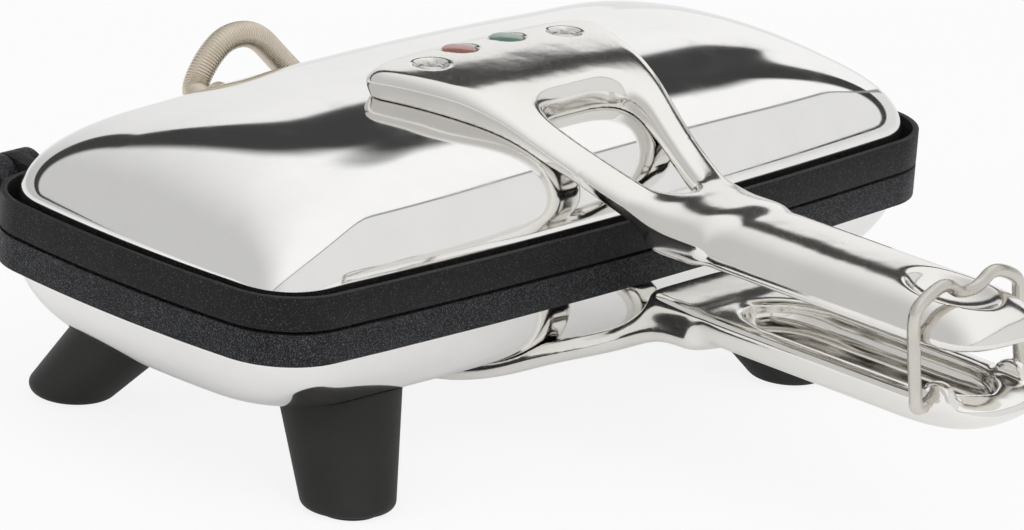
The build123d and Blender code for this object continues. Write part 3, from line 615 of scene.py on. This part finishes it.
casting = {
    "step": 0.85,  # of the grid that the field is worked out on
    "reachX": (-51.0, 51.1),
    "reachY": (-214.0, 21.0),
    "reachZ": (-8.0, 4.0),  # below the parting and over the plate's top
    "tip": (48.5, -3.0),  # x and y
    "neck": (17.5, -89.0),
    "neckRound": 12.0,
    "flank": 0.94,  # cosine of the sides' slope in plan
    "rearBow": (17.0, 14.0, 45.5),  # y at the middle, and the drop at an x
    "rearRound": 6.0,
    "armEnd": (-106.0, 3.0),  # y and its round
    "upper": (11.6, 20.6),  # heights of the parting and of the neck's crest
    "lower": (2.4, 16.0),
    "plateLift": 9.2,
    "armDepth": 8.0,
    "crest": {"crown": [(40, -3), (18, 1.5)],
              "top": [(4, -0.8), (-10, 0), (-30, -1.0), (-43, -5.0), (-56, -11.8), (-76, -20.6)],
              "neck": [(-93, 0), (-130, 0)]},  # y and height over the level named
    "crestBlur": 4.5,
    "crestFall": (1.1, 2.5),  # at the sides, and its power
    "leastHalf": 5,
    "under": {"crown": [(40, -8), (-40, -8)], "arm": [(-56, -11.6), (-76, -20.6)],
              "armNeck": [(-90, 0), (-130, 0)]},
    "underBlur": 3.5,
    "slant": 0.95,  # cosine of the slope of crest, underside and window
    "topRound": 5.5,
    "underRound": 2.5,
    "undercut": (0.42, 3.5),  # widening per millimetre, from this depth below the crest
    "window": (-39.0, -91.0, 22.0, 4.5),  # rear and front y, rear and front half width
    "windowRound": 15.0,
    "windowEdge": 4.0,
    "screws": (28.4, -7.0, 5.0, 3.2),  # x, y, radius and depth of the recess
    "screwRounds": (1.2, 1.1),
    "lamps": (10.0, -1.0, 5.45),  # x, y and radius
    "lampEdge": 0.7,
    "domeEdge": 0.8,
    "leastSlope": 0.15,  # that a field is divided by
    "moves": (4, 0.6),  # of the skin's points onto the zero, and the longest, in grid steps
}
gripForm = {
    "half": 20.6,
    "depth": 12.4,
    "powers": (2.9, 2.5),
    "nose": (-212.0, 33.0, 2.6),  # y, the length that it closes in, and the power
    "root": (-118.0, 34.0, 1.6),
    "rootLess": (3.0, 2.6),  # the half width and depth lost at the root
    "rearEnd": (-88.0, 6.0),
    "lift": (2.4, -196.0, 15.0),  # the underside rises to the nose: height, from a y, in a length
    "partingRound": 2.4,
    "join": 9.0,
}
thumbScoop = {"y": -186.0, "height": 15.2, "reach": (12.6, 17.5, 8.6), "edge": 1.3}
fingerHollow = {"half": 14.4, "taper": 0.2, "y": -138.5, "length": 26, "corner": 14.0, "roof": 7.6,
                "roofRound": 5.0, "edge": 1.4}
channel = {"half": 13.9, "taper": 0.12, "y": -157.3, "length": 45.5, "corner": 22.0, "roof": 8.6,
           "roofRound": 6.0, "edge": 1.7}
ears = {"y": -196.5, "reach": (5.6, 4.3), "x": 16.0, "half": 2.2, "round": 1.6, "top": (4, 1.0),
        "join": 1.6}


def softMax(first, second, width):
    # the larger of two, with a round blend where they are closer than the width
    near = np.maximum(width - np.abs(first - second), 0) / width
    return np.maximum(first, second) + near ** 2 * width / 4


def softMin(first, second, width):
    return -softMax(-first, -second, width)


def softLine(at, points, blur):
    # a polyline read at some places, its corners rounded by a bell-shaped average
    step, reach = 0.5, 60
    start, stop = -300, 100
    fine = np.arange(start, stop, step)
    xs, ys = zip(*sorted(points))
    bell = np.exp(-0.5 * (np.arange(-reach, reach + 1) * step / blur) ** 2)
    before = fine[0] + np.arange(-reach, 0) * step
    after = fine[-1] + np.arange(1, reach + 1) * step
    padded = np.interp(np.concatenate([before, fine, after]), xs, ys)
    return np.interp(at, fine, np.convolve(padded, bell / bell.sum(), "valid"))


def asDistance(field, step):
    # a field divided by its own slope, which makes it a distance near its skin
    slope = np.sqrt(sum(part ** 2 for part in np.gradient(field, step)))
    return field / np.maximum(slope, casting["leastSlope"])


def castingField(x, y, z, dome, parting, neckLevel, step):
    # plan crossed with side view, joined to the grip, then the screws' recesses
    form, crown = casting, dome["crown"]
    top = crown + form["plateLift"]
    levels = {"crown": crown, "top": top, "neck": neckLevel}
    crest = softLine(y, [(at, levels[key] + rise) for key, spots in form["crest"].items()
                         for at, rise in spots], form["crestBlur"])
    depth = form["armDepth"]
    lower = {"crown": (crown, 0), "arm": (top, depth), "armNeck": (neckLevel, depth)}
    under = softLine(y, [(at, lower[key][0] + rise - lower[key][1])
                         for key, spots in form["under"].items() for at, rise in spots],
                     form["underBlur"])
    tipX, tipY = form["tip"]
    neckX, neckY = form["neck"]
    widthLine = neckX + (tipX - neckX) * (y - neckY) / (tipY - neckY)
    half = softMax(widthLine, np.full_like(widthLine, neckX), form["neckRound"])
    bow, drop, bowX = form["rearBow"]
    rear = y - (bow - drop * (x / bowX) ** 2)
    plan = softMax((np.abs(x) - half) * form["flank"], rear, form["rearRound"])
    armEnd, endRound = form["armEnd"]
    widening, below = form["undercut"]
    plan = softMax(plan, armEnd - y, endRound) + widening * np.maximum(crest - below - z, 0)
    rearY, frontY, rearHalf, frontHalf = form["window"]
    windowHalf = frontHalf + (rearHalf - frontHalf) * (y - frontY) / (rearY - frontY)
    slant = form["slant"]
    ends = np.abs(y - (rearY + frontY) / 2) - (rearY - frontY) / 2
    window = softMax((np.abs(x) - windowHalf) * slant, ends, form["windowRound"])
    fall, fallPower = form["crestFall"]
    crest = crest - fall * (np.abs(x) / np.maximum(half, form["leastHalf"])) ** fallPower
    arms = softMax(plan, (z - crest) * slant, form["topRound"])
    arms = softMax(arms, (under - z) * slant, form["underRound"])
    arms = softMax(arms, -window, form["windowEdge"])
    body = softMin(arms, gripField(x, y, z, parting, step), gripForm["join"])

    screwX, screwY, screwRadius, screwDepth = form["screws"]
    floorRound, edgeRound = form["screwRounds"]
    sink = np.sqrt((np.abs(x) - screwX) ** 2 + (y - screwY) ** 2) - screwRadius
    return softMax(body, -softMax(sink, top - screwDepth - z, floorRound), edgeRound)


def gripField(x, y, z, parting, step):
    # section |x / half| ^ p + |z / depth| ^ q = 1 - nose ^ r, less at its root, cut at the parting
    nose, noseLength, nosePower = gripForm["nose"]
    forward = np.clip((nose + noseLength - y) / noseLength, 0, None)
    rootY, rootLength, rootPower = gripForm["root"]
    less = np.clip((y - rootY) / rootLength, 0, 1) ** rootPower
    wide = gripForm["half"] - gripForm["rootLess"][0] * less
    deep = gripForm["depth"] - gripForm["rootLess"][1] * less
    across, along = gripForm["powers"]
    section = (np.abs(x) / wide) ** across + (np.abs(z - parting) / deep) ** along
    grip = asDistance(section + forward ** nosePower - 1, step)
    rearEnd, rearRound = gripForm["rearEnd"]
    grip = softMax(grip, y - rearEnd, rearRound)
    height, start, length = gripForm["lift"]
    lift = height * np.clip((start - y) / length, 0, 1) ** 2
    return softMax(grip, parting + lift - z, gripForm["partingRound"])


def trough(form, x, y, z, parting):
    # a rounded slot in plan that narrows towards its roof
    plan = softMax(np.abs(x) - form["half"] + form["taper"] * (z - parting),
                   np.abs(y - form["y"]) - form["length"], form["corner"])
    return softMax(plan, z - parting - form["roof"], form["roofRound"])


def upperGripCuts(body, x, y, z, parting):
    # thumb scoop in front, fingertip hollow under the grip, and the two lamp holes
    reachX, reachY, reachZ = thumbScoop["reach"]
    scoop = np.sqrt((x / reachX) ** 2 + ((y - thumbScoop["y"]) / reachY) ** 2
                    + ((z - parting - thumbScoop["height"]) / reachZ) ** 2) - 1
    body = softMax(body, -scoop * reachZ, thumbScoop["edge"])
    body = softMax(body, -trough(fingerHollow, x, y, z, parting), fingerHollow["edge"])
    lampX, lampY, lampRadius = casting["lamps"]
    lamp = np.sqrt((np.abs(x) - lampX) ** 2 + (y - lampY) ** 2) - lampRadius
    return softMax(body, -lamp, casting["lampEdge"])


def lowerGripCuts(body, x, y, z, parting):
    # two ears that the bail turns in, and an open channel with a rounded rear end
    reachY, reachZ = ears["reach"]
    ear = np.sqrt(((y - ears["y"]) / reachY) ** 2 + ((z - parting) / reachZ) ** 2) - 1
    ear = softMax(ear * reachZ, np.abs(np.abs(x) - ears["x"]) - ears["half"], ears["round"])
    top, topRound = ears["top"]
    body = softMin(body, softMax(ear, z - parting - top, topRound), ears["join"])
    return softMax(body, -trough(channel, x, y, z, parting), channel["edge"])


def readGrid(field, spot):
    # a field read between its grid points, in straight lines each way
    cell = np.clip(spot.astype(int), 0, np.array(field.shape) - 2)
    part = spot - cell
    total = 0
    for dx in (0, 1):
        for dy in (0, 1):
            for dz in (0, 1):
                share = part[:, 0] if dx else 1 - part[:, 0]
                share = share * (part[:, 1] if dy else 1 - part[:, 1])
                share = share * (part[:, 2] if dz else 1 - part[:, 2])
                total = total + share * field[cell[:, 0] + dx, cell[:, 1] + dy, cell[:, 2] + dz]
    return total


def skinOf(field):
    # a skin over the zero of a field: a point in each grid cell that it crosses, at the mean of the
    # crossings on its edges, then moved along the slope onto the zero; a quad for each crossed edge
    inside = field < 0
    corners = np.stack(np.meshgrid([0, 1], [0, 1], [0, 1], indexing="ij"), -1).reshape(-1, 3)
    shape = tuple(n - 1 for n in field.shape)
    count = sum(inside[a:a + shape[0], b:b + shape[1], c:c + shape[2]].astype(np.int8)
                for a, b, c in corners)
    crossed = (count > 0) & (count < 8)
    cells = np.argwhere(crossed)
    number = np.full(shape, -1)
    number[crossed] = np.arange(len(cells))
    total, hits = np.zeros((len(cells), 3)), np.zeros(len(cells))
    for a in corners:
        for axis in range(3):
            if a[axis]:
                continue
            b = a.copy()
            b[axis] = 1
            va, vb = field[tuple((cells + a).T)], field[tuple((cells + b).T)]
            hit = (va < 0) != (vb < 0)
            share = np.where(hit, va / np.where(hit, va - vb, 1), 0)
            total += np.where(hit[:, None], a + share[:, None] * (b - a), 0)
            hits += hit
    points = cells + total / hits[:, None]
    slope = np.gradient(field)
    moves, longest = casting["moves"]
    for _ in range(moves):
        value = readGrid(field, points)
        normal = np.stack([readGrid(part, points) for part in slope], -1)
        move = normal * (value / np.maximum((normal ** 2).sum(1), 1e-6))[:, None]
        points -= np.clip(move, -longest, longest)
    faces = []
    for axis in range(3):
        low = [slice(None)] * 3
        high = [slice(None)] * 3
        low[axis], high[axis] = slice(0, -1), slice(1, None)
        spots = np.argwhere(inside[tuple(low)] != inside[tuple(high)])
        u, v = (axis + 1) % 3, (axis + 2) % 3
        spots = spots[(spots[:, u] > 0) & (spots[:, v] > 0)]
        around = []
        for du, dv in ((1, 1), (0, 1), (0, 0), (1, 0)):
            cell = spots.copy()
            cell[:, u] -= du
            cell[:, v] -= dv
            around.append(number[tuple(np.minimum(cell, np.array(shape) - 1).T)])
        quads = np.stack(around, -1)
        leaves = inside[tuple(spots.T)]
        quads[~leaves] = quads[~leaves][:, ::-1]
        faces.append(quads[(quads >= 0).all(1)])
    normal = np.stack([readGrid(part, points) for part in slope], -1)
    return points, np.concatenate(faces), normal / np.linalg.norm(normal, axis=1)[:, None]


def addCasting(name, dome, parting, neckLevel, cuts, body, node):
    # the field over the whole grid at once, cut along the dome, then its skin
    step = casting["step"]
    xs, ys = np.arange(*casting["reachX"], step), np.arange(*casting["reachY"], step)
    below, over = casting["reachZ"]
    zs = np.arange(parting + below, dome["crown"] + casting["plateLift"] + over, step)
    x, y, z = np.meshgrid(xs, ys, zs, indexing="ij")
    field = castingField(x, y, z, dome, parting, neckLevel, step)
    field = cuts(field, x, y, z, parting)
    floor = domeHeight(dome, x[:, :, 0], y[:, :, 0])
    domeCut = asDistance(z - floor[:, :, None], step)
    field = softMax(field, -domeCut, casting["domeEdge"])
    points, quads, normals = skinOf(field)
    points = points * step + np.array([xs[0], ys[0], zs[0]])
    if dome["side"] < 0:
        points[:, 2] *= -1
        normals[:, 2] *= -1
        quads = quads[:, ::-1]
    piece = newPiece(name, points, quads.tolist(), body, "polished_casting", [node])
    piece.data.normals_split_custom_set_from_vertices(normals.tolist())
    print(name, "faces", len(piece.data.polygons))


addCasting("upperHandleCast", lidDome, *casting["upper"], upperGripCuts, "lid", "upper_handle")
addCasting("lowerHandleCast", baseDome, *casting["lower"], lowerGripCuts, "base", "lower_handle")
print("handles made")


# The bail

bail = {
    "radius": 1.9,
    "half": 22.7,
    "pivot": (-194.0, -5.5),  # y and z
    "top": 26.0,
    "lean": 3.5,
    "wave": 1.7,
    "bar": [(0, -1.3), (0.2, -1.0), (0.42, 1.1), (0.66, 0.5), (0.97, -1.6)],  # shares of half, wave
    "shoulder": [(0, -7.0), (-0.4, -11.0)],  # y and z from the bar's end
    "leg": [(1.6, 10.0), (0.3, 3.4), (0, 0.2)],  # y and z from the pivot
    "hook": (2.6, 6.0),  # in from the leg
    "points": 260,
    "sides": 28,
}


def addBail():
    # one wire through both ears, up the outside of both grips, with a waved bar on top
    y, z = bail["pivot"]
    back, half, top = y + bail["lean"], bail["half"], bail["top"]
    right = [(half * share, back, top + bail["wave"] * rise) for share, rise in bail["bar"]]
    right += [(half, back + dy, top + dz) for dy, dz in bail["shoulder"]]
    right += [(half, y + dy, z + dz) for dy, dz in bail["leg"]]
    right += [(half - inwards, y, z) for inwards in bail["hook"]]
    left = [(-px, py, pz) for px, py, pz in right[:0:-1]]
    path, length = evenly(softened(left + right), bail["points"])
    points, faces = closedGrid(carried(path, bail["radius"], bail["sides"], across=(0, 1, 0)))
    newPiece("bailWire", points, faces, "latch", "wire_nickel", ["latch_wire"])
    print("bail made, wire length", round(length), "mm")


addBail()


# The conduit

conduit = {
    "radius": 4.0,
    "groove": 0.34,
    "groovePower": 2.2,
    "pitch": 0.9,
    "perTurn": 6,  # rings to a ridge
    "sides": 26,
    "route": [(-42.0, 66.7, 16.0), (-42.0, 71.0, 16.0), (-39.6, 79.0, 16.2), (-34.0, 79.2, 25.5),
              (-26.5, 78.9, 31.4), (-15.0, 78.4, 30.6), (-4.0, 78.2, 20.0), (14.0, 78.2, 4.0),
              (25.0, 79.2, -14.0), (28.0, 80.4, -21.0), (28.0, 73.0, -21.0), (28.0, 66.7, -21.0)],
    "fold": ((28.0, 79.0, -14.0), (-42.0, 79.0, 24.0)),  # where a bend from base to lid would begin and end; nothing here bends the conduit
}


def addConduit():
    # wound strip seen as close ridges: radius = outer radius - groove * |2 * phase - 1| ^ power,
    # with the phase running from 0 to 1 over each ridge
    path = softened(conduit["route"])
    perTurn = conduit["perTurn"]
    turns = int(evenly(path, 2)[1] / conduit["pitch"])
    path, length = evenly(path, turns * perTurn + 1)
    phase = np.arange(len(path)) % perTurn / perTurn
    groove = conduit["groove"] * (2 * np.abs(phase - 0.5)) ** conduit["groovePower"]
    radii = conduit["radius"] - groove
    points, faces = closedGrid(carried(path, radii, conduit["sides"]))
    piece = newPiece("conduitRibbed", points, faces, None, "conduit_steel", ["conduit"])
    [tuple(toFrame(p)) for p in conduit["fold"]]
    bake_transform(piece)
    print("conduit made,", turns, "ridges on", round(length), "mm")


addConduit()


# Screws and lenses, turned bodies

screwForm = {
    "radius": 4.2,
    "height": 2.4,
    "brow": 0.45,  # height at the head's edge, as a share of its height
    "inner": (0.04, 0.86, 26),  # rings of the head, as shares of its radius
    "outer": [0.91, 0.95, 0.98, 1.0],
    "sides": 96,
    "slotHalf": 0.55,
    "slotWall": 0.3,  # width of the recess's sloping walls
    "slotEnd": 0.4,
    "slotReach": 2.5,
    "slotDepth": 1.3,
    "slotRise": 0.3,  # share of the depth lost at the ends
    "shank": 1.9,
    "edge": 0.1,
    "neck": 0.3,
    "point": 0.4,
}
screwSets = {  # y, underside of the head, end of the shank, side of the seam, body and node
    "upperHandleScrewsTurned": (-7.0, 43.5, 27.3, 1, "lid", "upper_handle_screws"),
    "lowerHandleScrewsTurned": (-7.0, 43.0, 26.8, -1, "base", "lower_handle_screws"),
    "baseShellScrewsTurned": (18.0, 37.0, 26.8, -1, "base", "base_shell_screws"),
}


def screwRings(x, y, foot, end, side):
    # pan head: height = full height * (brow + (1 - brow) * (1 - (r / R) ^ 4) ^ 0.5), less a recess
    # shaped as a cross; then the side, the underside and the shank down to its end
    form = screwForm
    full, shank = form["radius"], form["shank"]
    r = np.concatenate([np.linspace(*form["inner"]), form["outer"]]) * full
    angle = np.arange(form["sides"]) * 2 * pi / form["sides"]
    radius, turn = np.meshgrid(r, angle, indexing="ij")
    px, py = radius * np.cos(turn), radius * np.sin(turn)
    crown = np.sqrt(np.maximum(1 - (radius / full) ** 4, 0))
    height = form["height"] * (form["brow"] + (1 - form["brow"]) * crown)
    cross = np.minimum(np.abs(px), np.abs(py))
    recess = np.clip((form["slotHalf"] + form["slotWall"] / 2 - cross) / form["slotWall"], 0, 1)
    recess *= np.clip((form["slotReach"] - radius) / form["slotEnd"], 0, 1)
    height -= form["slotDepth"] * recess * (1 - form["slotRise"] * radius / form["slotReach"])
    below = [(full, form["edge"]), (full - form["edge"], 0.0), (shank + form["neck"], 0.0),
             (shank, -form["neck"]), (shank, end - foot + form["point"]),
             (shank - form["point"], end - foot)]
    lower = np.stack([np.stack([q * np.cos(angle), q * np.sin(angle), np.full_like(angle, h)], -1)
                      for q, h in below])
    rings = np.concatenate([np.stack([px, py, height], -1), lower])
    rings = (rings + np.array([x, y, foot])) * np.array([1, 1, side])
    return rings[:, ::-1] if side > 0 else rings


def addScrews(name, y, foot, end, side, body, node):
    points, faces = [], []
    for x in (-casting["screws"][0], casting["screws"][0]):
        some, more = closedGrid(screwRings(x, y, foot, end, side))
        faces += [[k + sum(map(len, points)) for k in face] for face in more]
        points.append(some)
    newPiece(name, np.concatenate(points), faces, body, "screw_steel", [node])


for name, form in screwSets.items():
    addScrews(name, *form)

lensForm = {
    "radius": 5.15,
    "top": 46.05,
    "crown": 0.25,
    "foot": 36.0,
    "edge": 0.5,
    "rings": (0.03, 1, 24),  # shares of the top's radius
    "edgeRings": (0.1, pi / 2, 8),  # turns round the edge
    "sides": 72,
}


def addLens(name, x, slotName, node):
    # a low crown, height = crown * (1 - share ^ 2), a rounded edge and a straight side
    edge, flat = lensForm["edge"], lensForm["radius"] - lensForm["edge"]
    share, turn = np.linspace(*lensForm["rings"]), np.linspace(*lensForm["edgeRings"])
    r = np.concatenate([share * flat, flat + edge * np.sin(turn), [lensForm["radius"]]])
    z = np.concatenate([lensForm["crown"] * (1 - share ** 2), edge * np.cos(turn) - edge,
                        [lensForm["foot"] - lensForm["top"]]]) + lensForm["top"] - lensForm["crown"]
    angle = np.arange(lensForm["sides"]) * 2 * pi / lensForm["sides"]
    rings = np.stack([r[:, None] * np.cos(angle) + x,
                      r[:, None] * np.sin(angle) + casting["lamps"][1],
                      np.broadcast_to(z[:, None], (len(z), len(angle)))], -1)[:, ::-1]
    points, faces = closedGrid(rings)
    newPiece(name, points, faces, "lid", slotName, [node])


addLens("heatingLensCrowned", -casting["lamps"][0], "red_lens", "heating_lens")
addLens("readyLensCrowned", casting["lamps"][0], "green_lens", "ready_lens")
print("small pieces made")


# CAD nodes: some as merged copies with broken edges, the rest as they are

edges = {  # how wide they are broken
    **dict.fromkeys(["upper_plate", "lower_plate"], 0.45),
    **dict.fromkeys(["foot_" + place for place in (
        "front_left", "rear_left", "front_right", "rear_right")], 0.6),
    **dict.fromkeys(["foot_pads", "cord_inlet", "cord_clamp"], 0.4),
    **dict.fromkeys(["hinge_pin_left", "hinge_pin_right", "terminal_block"], 0.3),
}
broken = {
    "join": 0.00002,  # metres, points this close are one
    "flat": 0.8,  # degrees, flatter folds are taken out
    "from": 32,  # degrees, sharper folds are broken
    "segments": 3,
}
bodies = frame["record"]["behaviour"]["bodies"]
slots = {part["node"]: part["material_slot"] for part in frame["record"]["subparts"]}


def addBroken(name, finish):
    work = bmesh.new()
    work.from_mesh(nodes[name].data)
    bmesh.ops.remove_doubles(work, verts=work.verts, dist=broken["join"])
    bmesh.ops.dissolve_limit(work, angle_limit=radians(broken["flat"]), verts=work.verts,
                             edges=work.edges)
    mesh = bpy.data.meshes.new(name + "Broken")
    work.to_mesh(mesh)
    work.free()
    mesh.polygons.foreach_set("use_smooth", np.ones(len(mesh.polygons), bool))
    mesh.materials.append(finish)
    piece = placed(name + "Broken", mesh)
    bevel = piece.modifiers.new("brokenEdges", "BEVEL")
    bevel.width = edges[name] * 0.001
    bevel.segments = broken["segments"]
    bevel.limit_method = "ANGLE"
    bevel.angle_limit = radians(broken["from"])
    bevel.harden_normals = True
    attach(piece, next(body for body, held in bodies.items() if name in held))
    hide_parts(name)


for name in sorted(set(slots) - replaced):
    finish = finishes["lower_coating" if name == "lower_plate" else slots[name]]
    if name in edges:
        addBroken(name, finish)
    else:
        nodes[name].data.materials.clear()
        nodes[name].data.materials.append(finish)
print("CAD nodes dressed")


# Floor, sky and lamps

def addFloor():
    # paper that keeps the shadow: near white to the camera, lighter in mirrors, clear from below
    half = studio["floorHalf"]
    corners = [(-half, -half, 0), (half, -half, 0), (half, half, 0), (-half, half, 0)]
    mesh = bpy.data.meshes.new("floor")
    mesh.from_pydata(corners, [], [(0, 1, 2, 3)])
    floor = placed("floor", mesh)
    material = bpy.data.materials.new("floor")
    material.use_nodes = True
    paint = Paint(material.node_tree)
    matt = paint.node("ShaderNodeBsdfDiffuse", {}, {"Color": studio["floorColour"]})
    white = paint.node("ShaderNodeEmission", {}, {"Color": colour(1, 1, 1), "Strength": 1.0})
    seen, mirrored = (paint.node("ShaderNodeLightPath", output=ray) * share
                      for ray, share in studio["floorWhite"].items())
    paper = paint.node("ShaderNodeMixShader", {}, {0: seen + mirrored, 1: matt, 2: white})
    below = paint.node("ShaderNodeNewGeometry", output="Backfacing")
    clear = paint.node("ShaderNodeBsdfTransparent")
    whole = paint.node("ShaderNodeMixShader", {}, {0: below, 1: paper, 2: clear})
    paint.node("ShaderNodeOutputMaterial", {}, {"Surface": whole})
    mesh.materials.append(material)


def addSky():
    # the level falls by each part's share: low down behind, in the panel and to the left; then the
    # dark strip and the thin line take its place
    world = bpy.data.worlds.new("studio")
    world.use_nodes = True
    bpy.context.scene.world = world
    paint = Paint(world.node_tree)
    away = Vector((-towardsCamera.x, -towardsCamera.y, 0)).normalized()
    stripWay = Matrix.Rotation(radians(studio["stripTurn"]), 3, "Z") @ away
    direction = paint.node("ShaderNodeTexCoord", output="Generated")
    x, y, z = (paint.node("ShaderNodeSeparateXYZ", {}, {0: direction}, k) for k in range(3))
    angle = z.join("ARCTAN2", x * stripWay.x + y * stripWay.y) * (180 / pi)
    outX, outY, outZ = studio["panelAxis"]
    outwards = x * outX + y * outY + z * outZ
    leftward = y * away.x - x * away.y
    level = studio["skyLevel"]
    for key, share in (("backLevel", 1 - angle.above(*studio["backEnd"])),
                       ("frontLevel", outwards.above(studio["thinStrip"][1], studio["panelEdge"])),
                       ("leftLevel", leftward.above(*studio["leftStart"]))):
        level = level - (studio["skyLevel"] - studio[key]) * share
    dark = angle.between(*studio["darkStrip"], *studio["darkEdges"])
    thin = outwards.between(*studio["thinStrip"], *studio["thinEdges"])
    level = level * (1 - dark) + studio["darkLevel"] * dark
    level = level * (1 - thin) + studio["thinLevel"] * thin
    seen = paint.node("ShaderNodeLightPath", output="Is Camera Ray")
    sockets = {"Color": colour(1, 1, 1), "Strength": level * (1 - seen) + seen}
    sky = paint.node("ShaderNodeBackground", {}, sockets)
    paint.node("ShaderNodeOutputWorld", {}, {"Surface": sky})


def addLamp(name, place, size, power):
    data = bpy.data.lights.new(name, "AREA")
    data.shape = "RECTANGLE"
    data.size, data.size_y = size
    data.energy = power
    lamp = placed(name, data)
    lamp.location = place
    towards = Vector(studio["lampAim"]) - Vector(place)
    lamp.rotation_euler = towards.to_track_quat("-Z", "Y").to_euler()
    lamp.visible_camera = False
    lamp.visible_glossy = False


addFloor()
addSky()
for name, lamp in studio["lamps"].items():
    addLamp(name, **lamp)
print("studio made")
